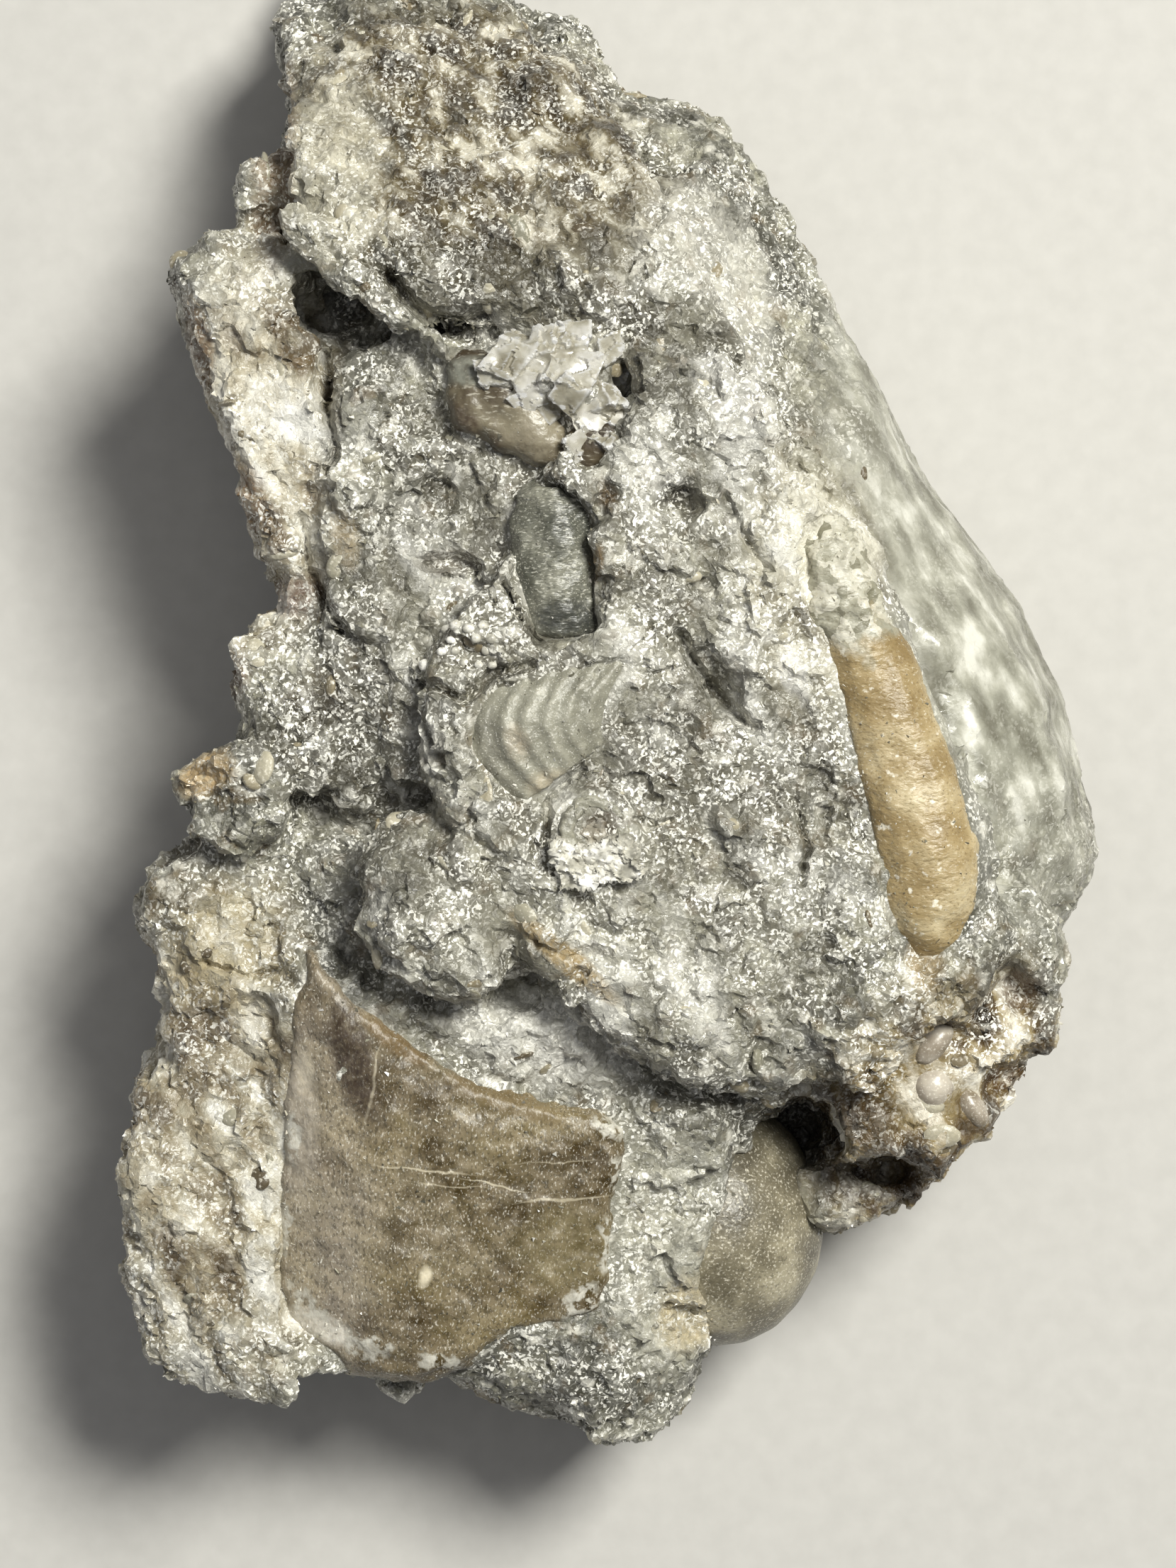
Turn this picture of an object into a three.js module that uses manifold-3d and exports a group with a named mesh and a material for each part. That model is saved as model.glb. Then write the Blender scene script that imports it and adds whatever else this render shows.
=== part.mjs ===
// A broken piece of pale limestone packed with loose trilobite plates, lying on its flat back.
// Millimetres, +Z up. X runs across the piece, Y along it, and the face with the fossils looks up.

import * as THREE from 'three';
import { mergeVertices } from 'three/addons/utils/BufferGeometryUtils.js';
import Module from 'manifold-3d';

const wasm = await Module();
wasm.setup();

// Driving dimensions
const SLIVER = 0.22; // slivers left by the cuts are closed up to this size
const WELD = 0.004; // corners closer than this become one
const SEAT_GAP = 0.3; // between a fossil and the rock that holds it
const POCKET_RISE = 4; // how far a pocket is open above its fossil
const CORE_TOP = 17; // the flat of the inner mass, below the ledges
const CROWN_TOP = 22.4; // the highest ledge
const PLATE_DEPTH = 1.7; // thickness of the shelly plates
const SIDES = 20; // facets round a lump
const TENSION = 0.3; // how tightly an outline bends round its points
const BASE_FADE = 2.5; // height over which the roughness dies out above the resting face
const COARSE = { size: 4.6, lift: 0.85 }; // lumps and hollows of the broken surface
const FINE = { size: 2.1, lift: 0.34 }; // grain clusters on it
const SIDEWAYS = 0.55; // share of the roughness that moves an outline in plan

// Ring lists: [reach, level]. Reach is the share of the way from the middle to the outline,
// level is 1 on the top face and 0 on the base. They run from the base to the top.
const FLANK = [[0, 0], [0.86, 0], [0.96, 0.22], [0.99, 0.48], [1.03, 0.75], [1, 0.95]];
const CRAG = [...FLANK, [0.8, 1], [0.4, 1], [0, 1]];
const BROAD = [...FLANK, [0.86, 1], [0.64, 1], [0.42, 1], [0.2, 1], [0, 1]];
const PLATE = [[0, 0], [0.6, 0], [0.94, 0.05], [1, 0.5], [0.94, 0.92], [0.7, 1], [0.35, 1], [0, 1]];
const NODULE = [[0, 0], [0.85, 0.16], [1, 0.5], [0.9, 0.78], [0.66, 0.93], [0.35, 1], [0, 1]];
const CUT = [[0, 0], [0.6, 0], [1, 0.3], [1, 1], [0, 1]];
const SHAFT = [[0, 0], [0.6, 0], [1, 0], [1, 1], [0, 1]];

// ---------------------------------------------------------------- rough stone

// A fixed number from 0 to 1 for each corner of a lattice.
const MIX = { i: 127.1, j: 311.7, k: 74.7, seed: 19.3, spread: 43758.5453 };
function lattice(i, j, k, seed) {
  const wave = Math.sin(i * MIX.i + j * MIX.j + k * MIX.k + seed * MIX.seed) * MIX.spread;
  return wave - Math.floor(wave);
}

// Smooth noise from -1 to 1 that repeats exactly from run to run.
function noise(x, y, z, seed) {
  const cell = [x, y, z].map(Math.floor);
  const [u, v, w] = [x, y, z].map((value, axis) => {
    const t = value - cell[axis];
    return t * t * (3 - 2 * t);
  });
  let sum = 0;
  for (let corner = 0; corner < 8; corner += 1) {
    const [i, j, k] = [corner & 1, (corner >> 1) & 1, (corner >> 2) & 1];
    const weight = (i ? u : 1 - u) * (j ? v : 1 - v) * (k ? w : 1 - w);
    sum += weight * lattice(cell[0] + i, cell[1] + j, cell[2] + k, seed);
  }
  return 2 * sum - 1;
}

// Moves a point of the broken surface, and leaves the resting face flat.
function roughen(point, amount) {
  const fade = THREE.MathUtils.clamp(point.z / BASE_FADE, 0, 1) * amount;
  const [dx, dy, dz] = [0, 1, 2].map((axis) => [COARSE, FINE].reduce((sum, { size, lift }) => (
    sum + lift * noise(point.x / size, point.y / size, point.z / size, axis + size)), 0));
  return point.add(new THREE.Vector3(dx * SIDEWAYS, dy * SIDEWAYS, dz).multiplyScalar(fade));
}

// ---------------------------------------------------------------- solids

// A solid drawn from above. outline is a closed line of [x, y] points, top and base give the
// heights of the top face and the underside at a place, and middle is where the rings close.
// grow makes it larger all round, and rise makes it taller still.
function lump({
  outline, middle, top, base = 0, rings = CRAG, sides = SIDES, rough = 1, grow = 0, rise = 0,
}) {
  const corners = outline.map(([x, y]) => new THREE.Vector3(x, y, 0));
  const edge = new THREE.CatmullRomCurve3(corners, true, 'catmullrom', TENSION).getSpacedPoints(sides);
  if (THREE.ShapeUtils.isClockWise(edge)) edge.reverse();
  const centre = middle
    ? new THREE.Vector3(...middle, 0)
    : edge.slice(1).reduce((sum, point) => sum.add(point), new THREE.Vector3()).divideScalar(sides);
  const [topAt, baseAt] = [top, base].map((value) => (typeof value === 'function' ? value : () => value));
  const profile = rings.map(([reach, level]) => new THREE.Vector2(reach, level));
  const geometry = new THREE.LatheGeometry(profile, sides);
  const position = geometry.attributes.position;
  for (let index = 0; index < position.count; index += 1) {
    const { x: reach, y: level } = profile[index % profile.length];
    const spoke = edge[Math.floor(index / profile.length) % sides].clone().sub(centre);
    const length = spoke.length() || 1;
    spoke.multiplyScalar(reach * (length + grow) / length);
    const point = centre.clone().add(spoke);
    const low = baseAt(point.x, point.y) - grow;
    const high = topAt(point.x, point.y) + grow + rise;
    point.z = low + level * (high - low);
    if (rough) roughen(point, rough);
    position.setXYZ(index, point.x, point.y, point.z);
  }
  return geometry;
}

// A flat sloping height: z at [x, y], rising by the two slopes along X and Y.
function slope(z, [x0, y0], alongX, alongY) {
  return (x, y) => z + alongX * (x - x0) + alongY * (y - y0);
}

// ---------------------------------------------------------------- joining and cutting

function solid(geometry, weld = 1e-5) {
  const bare = geometry.clone();
  bare.deleteAttribute('normal');
  bare.deleteAttribute('uv');
  const merged = mergeVertices(bare, weld);
  const corners = [...merged.index.array];
  const triVerts = [];
  for (let i = 0; i < corners.length; i += 3) {
    const [a, b, c] = corners.slice(i, i + 3);
    if (a !== b && b !== c && c !== a) triVerts.push(a, b, c);
  }
  return new wasm.Manifold(new wasm.Mesh({
    numProp: 3,
    vertProperties: new Float32Array(merged.attributes.position.array),
    triVerts: new Uint32Array(triVerts),
  }));
}

// Drops the slivers and crumbs that a cut leaves, and keeps the one large body.
function cleaned(manifold) {
  const bodies = solid(surface(manifold.simplify(SLIVER)), WELD).decompose();
  return bodies.reduce((largest, body) => (body.volume() > largest.volume() ? body : largest));
}

function surface(manifold) {
  const mesh = manifold.getMesh();
  const geometry = new THREE.BufferGeometry();
  geometry.setAttribute('position', new THREE.BufferAttribute(mesh.vertProperties, 3));
  geometry.setIndex(new THREE.BufferAttribute(mesh.triVerts, 1));
  return geometry;
}


// ---------------------------------------------------------------- the rock

// The inner mass. Its flank is widest at a third of its height and slopes in to a flat top,
// which falls away towards both ends of the piece.
const core = lump({
  outline: [
    [-3.8, 36], [-1.3, 35.2], [1.1, 33.6], [1.8, 31.4], [4.5, 31.3], [8, 27], [11.3, 21.2],
    [15.7, 13.4], [18.3, 9.5], [20.4, 5.9], [22.8, -1], [23.1, -3.8], [21.8, -6.4], [21.2, -9.6],
    [19.5, -12.8], [16.3, -16], [12.6, -18.2], [9, -17.6], [7, -18.5], [6, -21], [5.6, -24],
    [4.4, -27.4], [1.6, -29.7], [-1, -28.6], [-6.1, -26.5], [-12.1, -26.4], [-16.9, -26.5],
    [-19.3, -24], [-19.6, -19.2], [-18.9, -6.4], [-16.9, -1.6], [-14.9, 3.2], [-13.7, 8], [-14.9, 12.8],
    [-16.9, 21.7], [-15.7, 24.6], [-13.9, 27.5], [-13.6, 34], [-12.5, 38.7], [-9.6, 40.3], [-6.4, 39],
  ],
  middle: [0, 0],
  top: (x, y) => CORE_TOP - 9 * (Math.max(y - 15, 0) / 25) ** 2 - 6 * (Math.max(-y, 0) / 28) ** 2,
  rings: [
    [0, 0], [0.84, 0], [0.93, 0.18], [0.98, 0.36], [1, 0.53], [0.97, 0.7], [0.92, 0.84], [0.78, 1],
    [0.4, 1], [0, 1],
  ],
  sides: 48,
});

// The upper mass arches down to the far end of the piece.
const upperMass = lump({
  outline: [
    [-14, 34.5], [-13, 27.3], [-12.3, 24.5], [-10.6, 22.7], [-8.2, 20.9], [-6.1, 19.5], [-3.3, 19.3],
    [-0.9, 19.5], [3.9, 17.3], [7, 17.6], [5.2, 21.5], [2.1, 27.1], [-0.9, 31.5], [-4.2, 35.1],
    [-6.4, 37.1], [-9.4, 37.9], [-11.8, 36.4],
  ],
  top: (x, y) => 21.6 - 13.5 * (Math.max(y - 19.5, 0) / 18) ** 2 - 0.12 * Math.max(-x - 8, 0),
  base: 2,
  rings: BROAD,
});

// The highest ledge runs down the middle and drops off sharply at its near end.
const middleLedge = lump({
  outline: [
    [0.9, 18.3], [3.9, 18], [6.9, 17.8], [8.4, 15], [9.6, 12], [12.8, 6.3], [15, 1.5], [18.3, -6.9],
    [17.1, -9.6], [13.8, -11.4], [10.5, -12.8], [7.5, -13], [3.9, -12.9], [1.8, -11.2], [-0.6, -9.6],
    [-2.5, -8.5], [-3.9, -3], [-5.7, -1.5], [-6.9, 1.2], [-6.9, 4.2], [-5.4, 6.9], [-2.7, 10.2],
    [-1.2, 13.8],
  ],
  middle: [5, 0],
  top: slope(CROWN_TOP, [2, 10], -0.09, 0.07),
  base: 8,
  rings: BROAD,
  sides: 32,
});

const plateField = lump({
  outline: [
    [-11.3, 17.5], [-10, 18.7], [-7.9, 19.5], [-2.1, 18.9], [0.9, 18.1], [1.2, 12.1], [0.9, 6],
    [-2.1, 3], [-5.7, 0.6], [-8.2, -0.9], [-9.1, 0.6], [-8.3, 6], [-9.1, 9.1], [-10.6, 11.5],
    [-11.6, 13.9],
  ],
  middle: [-4.5, 10],
  top: slope(20, [-5, 10], 0.04, 0),
  base: 10,
});

const leftSlab = lump({
  outline: [
    [-18, 22], [-16.4, 23.7], [-14.8, 23.8], [-13.1, 23.2], [-11.8, 21.3], [-11.3, 18], [-11.3, 12],
    [-11.4, 6.9], [-12.8, 7], [-13.5, 9], [-14.7, 11.3], [-16.9, 18],
  ],
  middle: [-13.6, 16],
  top: slope(19.4, [-14, 15], 0.06, 0.03),
  base: 3,
});

const leftStrip = lump({
  outline: [
    [-12.1, 12.1], [-11.7, 13.5], [-10.6, 13.9], [-9.4, 12.4], [-8.8, 9.4], [-8, 6.7], [-9.4, 5.9],
    [-10.9, 7],
  ],
  top: slope(20.3, [-10, 10], 0.1, 0.02),
  base: 10,
  sides: 20,
});

const nearKnob = lump({
  outline: [[-9.6, -26], [-9.2, -27.4], [-8, -28], [-7.2, -27.2], [-7.3, -25.4], [-8.6, -25]],
  top: 12.4,
  base: 4,
  sides: 12,
});

const cornerKnob = lump({
  outline: [[17.4, -5.2], [19.2, -4.8], [20.6, -6.4], [20.9, -8.4], [19.4, -9.4], [17.8, -8.2]],
  top: slope(17.6, [19, -7], -0.15, 0),
  base: 6,
  sides: 14,
});

const ledgeKnob = lump({
  outline: [[10.2, -11.4], [11.8, -10.6], [13.2, -11], [13.4, -12.6], [12.2, -13.6], [10.6, -13]],
  top: 18.9,
  base: 10,
  sides: 14,
});

const darkLump = lump({
  outline: [
    [-15.5, 4.6], [-15.5, 5.6], [-13.9, 6.8], [-12.2, 7.1], [-8.9, 6.7], [-7.9, 4.6], [-7.8, 1.5],
    [-8.2, -0.6], [-9.6, -1.8], [-12.2, -0.6], [-14.2, 1.1],
  ],
  top: slope(18.7, [-11.5, 2.5], 0.04, 0),
  base: 3,
});

const knob = lump({
  outline: [
    [-17.9, -0.1], [-16.7, 1.2], [-15, 2.1], [-13.8, 1.5], [-12.9, -0.3], [-13.1, -2.6], [-14.6, -3.5],
    [-16.6, -3],
  ],
  top: slope(18.9, [-15.5, -1], 0.1, 0.1),
  base: 6,
  sides: 18,
});

const shoulder = lump({
  outline: [
    [-19.3, -5.7], [-19.1, -4.5], [-17.4, -2.5], [-15.3, -2.8], [-12.6, -1.8], [-9.2, -2.9],
    [-8.9, -6.1], [-8.3, -8.9], [-10.1, -10.4], [-15.6, -10.4], [-18.6, -10.4], [-18.7, -7.7],
  ],
  top: slope(17.4, [-14, -6], 0.14, 0),
  base: 2,
  sides: 24,
});

const stainedBand = lump({
  outline: [
    [-19.8, -13.5], [-18.6, -11.5], [-18.8, -9.3], [-16.4, -8.4], [-13.3, -9], [-12.9, -12.4],
    [-13.2, -23.2], [-12.4, -26.2], [-13.8, -27.6], [-15.1, -26.7], [-16.7, -26.8], [-18.8, -26.4],
    [-20.2, -23.6], [-20.1, -17],
  ],
  middle: [-16.4, -18],
  top: slope(15.6, [-17, -18], 0.16, 0.05),
});

const lowerBlock = lump({
  outline: [
    [-13.2, -8], [-8.3, -8.6], [-5.5, -10.1], [-2.2, -9.2], [0.6, -10.8], [3.7, -13.7], [7.1, -14.1],
    [6.1, -16.6], [5.6, -20], [5.8, -24.4], [4.4, -28.2], [1.7, -29.8], [-0.9, -28.1], [-3.6, -27.6],
    [-4.9, -26.4], [-7.2, -26.1], [-12.2, -26.1], [-13.5, -24.6], [-13.5, -15.4],
  ],
  middle: [-3.5, -18.5],
  top: slope(17.5, [-4, -12], -0.05, 0.22),
  rings: BROAD,
  sides: 36,
});

const nodule = lump({
  outline: [
    [-9.5, -3], [-8.1, -1.6], [-5.7, -0.8], [-3.3, -2.4], [-2.5, -4.8], [-2.6, -7.2], [-3.2, -9],
    [-5.2, -9.8], [-7.5, -9.1], [-9.1, -7.6], [-9.4, -5.4],
  ],
  top: 22.3,
  base: 13,
  rings: NODULE,
});

const terrace = lump({
  outline: [
    [7.9, -14.5], [10.8, -13.4], [14.5, -11.7], [18.2, -8.9], [20.8, -8.8], [20, -10.3], [20.4, -11.7],
    [18.4, -13.6], [16.4, -16.3], [15.4, -17.6], [12.6, -17], [10.2, -17],
  ],
  middle: [14.8, -13.6],
  top: slope(16.8, [14, -13], -0.12, 0.1),
  base: 4,
});

const rim = lump({
  outline: [[9.5, -17], [11.7, -15.8], [15.4, -16.4], [15.8, -17.6], [13.8, -18.7], [11.3, -20], [10, -20]],
  top: 12.3,
  base: 3,
  sides: 18,
});

const farKnobs = lump({
  outline: [
    [-15.3, 25.6], [-15.2, 26.4], [-14.2, 26.9], [-13, 27.8], [-12.7, 24.7], [-13.3, 23.8],
    [-15.1, 24.2],
  ],
  top: 16,
  base: 7,
  sides: 14,
});

// A thin flake bridges the hollow between the left slab and the upper mass.
const flake = lump({
  outline: [
    [-13.1, 24.4], [-12, 24.3], [-9.9, 22.6], [-7.2, 20.2], [-5.2, 18], [-5.7, 17.6], [-8.1, 19.3],
    [-10.5, 21], [-12.6, 22.5],
  ],
  top: slope(21.6, [-9, 21], 0.05, 0),
  base: 18.6,
  rough: 0.6,
  sides: 24,
});

// A cut that follows a straight line across the rock, widest in the middle.
function groove([x0, y0], [x1, y1], width, floor, ceiling) {
  const [dx, dy] = [x1 - x0, y1 - y0];
  const half = width / 2 / Math.hypot(dx, dy);
  const at = (share, side) => [x0 + share * dx - side * half * dy, y0 + share * dy + side * half * dx];
  return lump({
    outline: [
      at(0, 0), at(0.25, 0.9), at(0.5, 1), at(0.75, 0.9),
      at(1, 0), at(0.75, -0.9), at(0.5, -1), at(0.25, -0.9),
    ],
    top: ceiling,
    base: floor,
    rings: CUT,
    sides: 12,
    rough: 0.35,
  });
}

function oval([x, y], [halfX, halfY], turn = 0) {
  return [0, 1, 2, 3, 4, 5, 6, 7].map((step) => {
    const angle = step * Math.PI / 4;
    const [u, v] = [halfX * Math.cos(angle), halfY * Math.sin(angle)];
    return [x + u * Math.cos(turn) - v * Math.sin(turn), y + u * Math.sin(turn) + v * Math.cos(turn)];
  });
}

function pit(at, half, floor, ceiling, shape = { rings: CUT, rough: 0.35 }) {
  return lump({ outline: oval(at, half), top: ceiling, base: floor, sides: 10, ...shape });
}

const SKY = 27; // above everything
const cuts = [
  pit([-11, 20.6], [2, 1.6], 13.5, SKY), // hollow under the flake
  groove([-11.3, 21], [-11.2, 13.2], 0.9, 15, SKY), // crack beside the left slab
  groove([4, 6.8], [7.5, 1], 1.1, 20, SKY), // slot in the middle ledge
  groove([-3, -8.2], [3.6, -13.4], 1, 14.5, SKY), // crack under the near edge of the middle ledge
  groove([-13.4, -0.4], [-8.4, -3.2], 1, 14, SKY), // crack under the dark lump
  pit([9.4, -15.7], [2.1, 1.7], 6, 18.2), // cavity beside the cheek
  pit([12.9, -17.4], [2.3, 0.9], 10, SKY), // hollow in the rim
  pit([3.9, 11.9], [0.9, 0.6], 20.4, SKY),
  pit([0.8, 11.6], [0.45, 0.9], 19.6, SKY),
  pit([1.7, -0.8], [0.6, 0.7], 20.6, SKY),
];

// ---------------------------------------------------------------- the fossils

// A shelly plate: its underside follows its top. grow and rise turn it into its own pocket.
function plate(form) {
  return (extra = {}) => lump({
    rings: PLATE, rough: 0, base: (x, y) => form.top(x, y) - PLATE_DEPTH, ...form, ...extra,
  });
}

// The tail shield is bent along a crease into a steep left face and a broad right face.
const CREASE = { x: -9.4, lean: 0.12, left: 0.34, right: 0.07, blunt: 0.6 };
const tailShield = plate({
  outline: [
    [-12, -7.7], [-10.9, -9], [-9.5, -10.4], [-5.8, -12.9], [-3.1, -14], [0, -14.8], [1.5, -14.7],
    [1.2, -16.9], [0.8, -18.6], [1, -21.2], [0.6, -23], [-1.2, -23.6], [-4, -24.1], [-6.1, -25.8],
    [-10.1, -25.9], [-12, -24.5], [-13.4, -23], [-13.3, -18.4], [-12.6, -9.8],
  ],
  middle: [-6.8, -18],
  top: (x, y) => {
    const off = x - CREASE.x + CREASE.lean * (y + 11);
    const bend = Math.hypot(off, CREASE.blunt) - CREASE.blunt;
    return 18.4 + 0.21 * (y + 11) - bend * (off < 0 ? CREASE.left : CREASE.right);
  },
  sides: 34,
});

// The ribbed plate is a bulging fan. Its rounded ribs run between the two long edges and bow
// to the left, where the fan is widest.
const FAN = {
  ribs: 6, ribHeight: 0.22, crown: 22.5, bulge: 1.3, bow: 1.5,
  far: [new THREE.Vector2(-3.7, 4), new THREE.Vector2(2, 5.1)],
  near: [new THREE.Vector2(-3, -0.7), new THREE.Vector2(0.5, 1.9)],
};
function fan(grow = 0, rise = 0) {
  const geometry = new THREE.BoxGeometry(1, 1, 1, FAN.ribs * 2, 5, 1);
  const position = geometry.attributes.position;
  const wide = 1 + grow / 2.4;
  for (let index = 0; index < position.count; index += 1) {
    const across = 0.5 + position.getX(index) * wide;
    const along = 0.5 + position.getY(index) * wide;
    const upper = position.getZ(index) > 0;
    const near = new THREE.Vector2().lerpVectors(...FAN.near, across);
    const far = new THREE.Vector2().lerpVectors(...FAN.far, across);
    const place = near.lerp(far, along);
    place.x -= FAN.bow * (1 - 0.5 * across) * Math.sin(Math.PI * along);
    const rib = FAN.ribHeight * Math.abs(Math.sin(Math.PI * FAN.ribs * across));
    const skin = FAN.crown - FAN.bulge * ((across - 0.55) ** 2 + (along - 0.5) ** 2) * 1.6;
    const height = upper ? skin + rib + grow + rise : skin - PLATE_DEPTH - grow;
    position.setXYZ(index, place.x, place.y, height);
  }
  return geometry;
}

const thoraxSegment = plate({
  outline: [
    [-2.9, 12.1], [-1.9, 12.5], [-1, 12.1], [0, 10.8], [0.2, 9.1], [0.2, 7.4], [0.7, 6.5], [-1, 6.2],
    [-2, 6.2], [-2.5, 7.9], [-2.9, 9.1], [-3, 10.4],
  ],
  top: (x, y) => 21.6 - 0.3 * (x + 1.3) ** 2 + 0.02 * (y - 9),
  sides: 20,
});

const headFragment = plate({
  outline: [
    [-5.7, 16.9], [-5.8, 18], [-4.4, 18.3], [-3.4, 16.9], [-1.7, 15.7], [-1, 14.6], [-1.5, 13.6],
    [-2.2, 13.8], [-3.6, 14.4], [-5.4, 15.3],
  ],
  top: (x, y) => 20.9 - 0.06 * ((x + 3.4) ** 2 + (y - 16) ** 2) + 0.08 * (x + 3.4),
  sides: 18,
});

// A rounded body that swells along a bent line: stations are [x, y, z, half width].
function spindle(stations, squash, grow = 0) {
  const line = new THREE.CatmullRomCurve3(stations.map(([x, y, z]) => new THREE.Vector3(x, y, z)));
  const widths = new THREE.SplineCurve(stations.map((station, i) => new THREE.Vector2(i, station[3])));
  const steps = 14;
  const stops = [...Array(steps + 1).keys()];
  const profile = stops.map((stop) => new THREE.Vector2(stop % steps === 0 ? 0 : 1, stop / steps));
  const around = 12;
  const geometry = new THREE.LatheGeometry(profile, around);
  const position = geometry.attributes.position;
  for (let index = 0; index < position.count; index += 1) {
    const { x: reach, y: share } = profile[index % profile.length];
    const turn = -2 * Math.PI * (Math.floor(index / profile.length) % around) / around;
    const point = line.getPoint(share);
    const along = line.getTangent(share);
    const half = reach * (widths.getPoint(share).y + grow);
    point.x += half * Math.cos(turn) * along.y;
    point.y -= half * Math.cos(turn) * along.x;
    point.z += half * Math.sin(turn) * squash;
    point.addScaledVector(along, reach ? 0 : grow * Math.sign(share - 0.5));
    position.setXYZ(index, point.x, point.y, point.z);
  }
  return geometry;
}

const SPINE = [
  [10.1, 11.4, 20.3, 0.9], [10.4, 9.6, 20.4, 1.35], [11.1, 7.3, 20.4, 1.45], [12, 5.1, 20.3, 1.55],
  [12.8, 2.9, 20.2, 1.7], [13.7, 0.1, 20, 1.9], [14.3, -2.2, 19.8, 2.1], [14.6, -4, 19.6, 2.15],
  [14.6, -5.9, 19.3, 1.8], [14.2, -8.1, 18.8, 1.1],
];
const SPINE_SQUASH = 0.75;
const spine = spindle(SPINE, SPINE_SQUASH);

// An egg-shaped body; grow makes it larger all round.
function egg([x, y, z], [halfX, halfY, halfZ], turn = 0, grow = 0, sides = 10) {
  return new THREE.SphereGeometry(1, sides, Math.round(sides * 0.6))
    .rotateX(Math.PI / 2)
    .scale(halfX + grow, halfY + grow, halfZ + grow)
    .rotateZ(turn)
    .translate(x, y, z);
}

const CHEEK = { at: [5.6, -19.8, 9], half: [4.5, 5.2, 5.2], turn: 0.15, sides: 22 };
const cheek = egg(CHEEK.at, CHEEK.half, CHEEK.turn, 0, CHEEK.sides);
const cheekPocket = egg(CHEEK.at, CHEEK.half, CHEEK.turn, SEAT_GAP, CHEEK.sides);

const BEADS = [
  { name: 'brown_grain', at: [0.4, 14.2, 20.5], half: [1.05, 0.85, 0.7], turn: 0.3, colour: 0x8a7462 },
  { name: 'seed_shell_1', at: [15, -13.3, 16.7], half: [0.9, 1, 0.8], turn: 0, colour: 0xa39a86 },
  { name: 'seed_shell_2', at: [15, -11.4, 17.3], half: [1.1, 0.55, 0.6], turn: 0.9, colour: 0xb3aa94 },
  { name: 'seed_shell_3', at: [16.7, -14.2, 16.1], half: [1.1, 0.5, 0.6], turn: -1, colour: 0x9c937f },
];
const POCKET_LIFTS = [0, 1.2, 2.6];

const RING = { at: [0.3, -2.1, 21.9], radius: 1.15, tube: 0.32 };
const ringShell = new THREE.TorusGeometry(RING.radius, RING.tube, 6, 14).translate(...RING.at);
const ringPocket = pit(RING.at, [RING.radius + RING.tube + SEAT_GAP, RING.radius + RING.tube + SEAT_GAP],
  RING.at[2] - RING.tube - SEAT_GAP, SKY, { rings: SHAFT, rough: 0 });

// Calcite breaks into slanted blocks: each is a cube pushed over sideways.
function cleavage({ at: [x, y, z], size, turn, tip }) {
  const lean = new THREE.Matrix4().makeShear(0, 0, 0.25, 0, 0.25, 0);
  return new THREE.BoxGeometry(size, size * 0.8, size)
    .applyMatrix4(lean)
    .rotateX(tip)
    .rotateZ(turn)
    .translate(x, y, z);
}

const CRYSTALS = [
  { at: [-2.3, 17.9, 20.7], size: 1.9, turn: 0.35, tip: 0.3 },
  { at: [-0.9, 17.2, 21], size: 2.2, turn: -0.2, tip: -0.25 },
  { at: [-0.2, 16.1, 20.6], size: 1.7, turn: 0.8, tip: 0.2 },
];
const CRYSTAL_PIT = { at: [-1.1, 16.9], half: [3.3, 2.7], floor: 19.2 };

// ---------------------------------------------------------------- fitting the fossils in the rock

const POCKET = { grow: SEAT_GAP, rise: POCKET_RISE, rings: SHAFT };
const join = (sum, geometry) => sum.add(solid(geometry));
const union = ([first, ...others]) => others.reduce(join, solid(first));
const lifted = (geometry) => POCKET_LIFTS.map((lift) => geometry.clone().translate(0, 0, lift));
const beadEgg = ({ at, half, turn }) => egg(at, half, turn);
const beadShaft = ({ at: [x, y, z], half: [halfX, halfY, halfZ], turn }) => lump({
  outline: oval([x, y], [halfX, halfY], turn), top: z + halfZ, base: z - halfZ, rough: 0, sides: 12,
  ...POCKET,
});

const pockets = [
  ...[tailShield, thoraxSegment, headFragment].map((form) => form(POCKET)),
  fan(SEAT_GAP, POCKET_RISE),
  ...lifted(spindle(SPINE, SPINE_SQUASH, SEAT_GAP)),
  ...BEADS.map(beadShaft),
  cheekPocket,
  ringPocket,
  pit(CRYSTAL_PIT.at, CRYSTAL_PIT.half, CRYSTAL_PIT.floor, SKY, { rings: SHAFT, rough: 0 }),
];

const rock = cleaned(union([
  core, upperMass, middleLedge, plateField, leftSlab, leftStrip, darkLump, knob, shoulder, stainedBand,
  lowerBlock, nodule, terrace, rim, farKnobs, nearKnob, cornerKnob, ledgeKnob,
]).subtract(union(cuts)).add(solid(flake)).subtract(union(pockets)));

const crystals = cleaned(union(CRYSTALS.map(cleavage))
  .subtract(solid(headFragment(POCKET)))
  .subtract(union(BEADS.map(beadShaft))));

// ---------------------------------------------------------------- the assembly

function piece(name, manifold, color, roughness) {
  const material = new THREE.MeshStandardMaterial({ color, roughness, metalness: 0 });
  const mesh = new THREE.Mesh(surface(manifold), material);
  mesh.name = name;
  return mesh;
}

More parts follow.
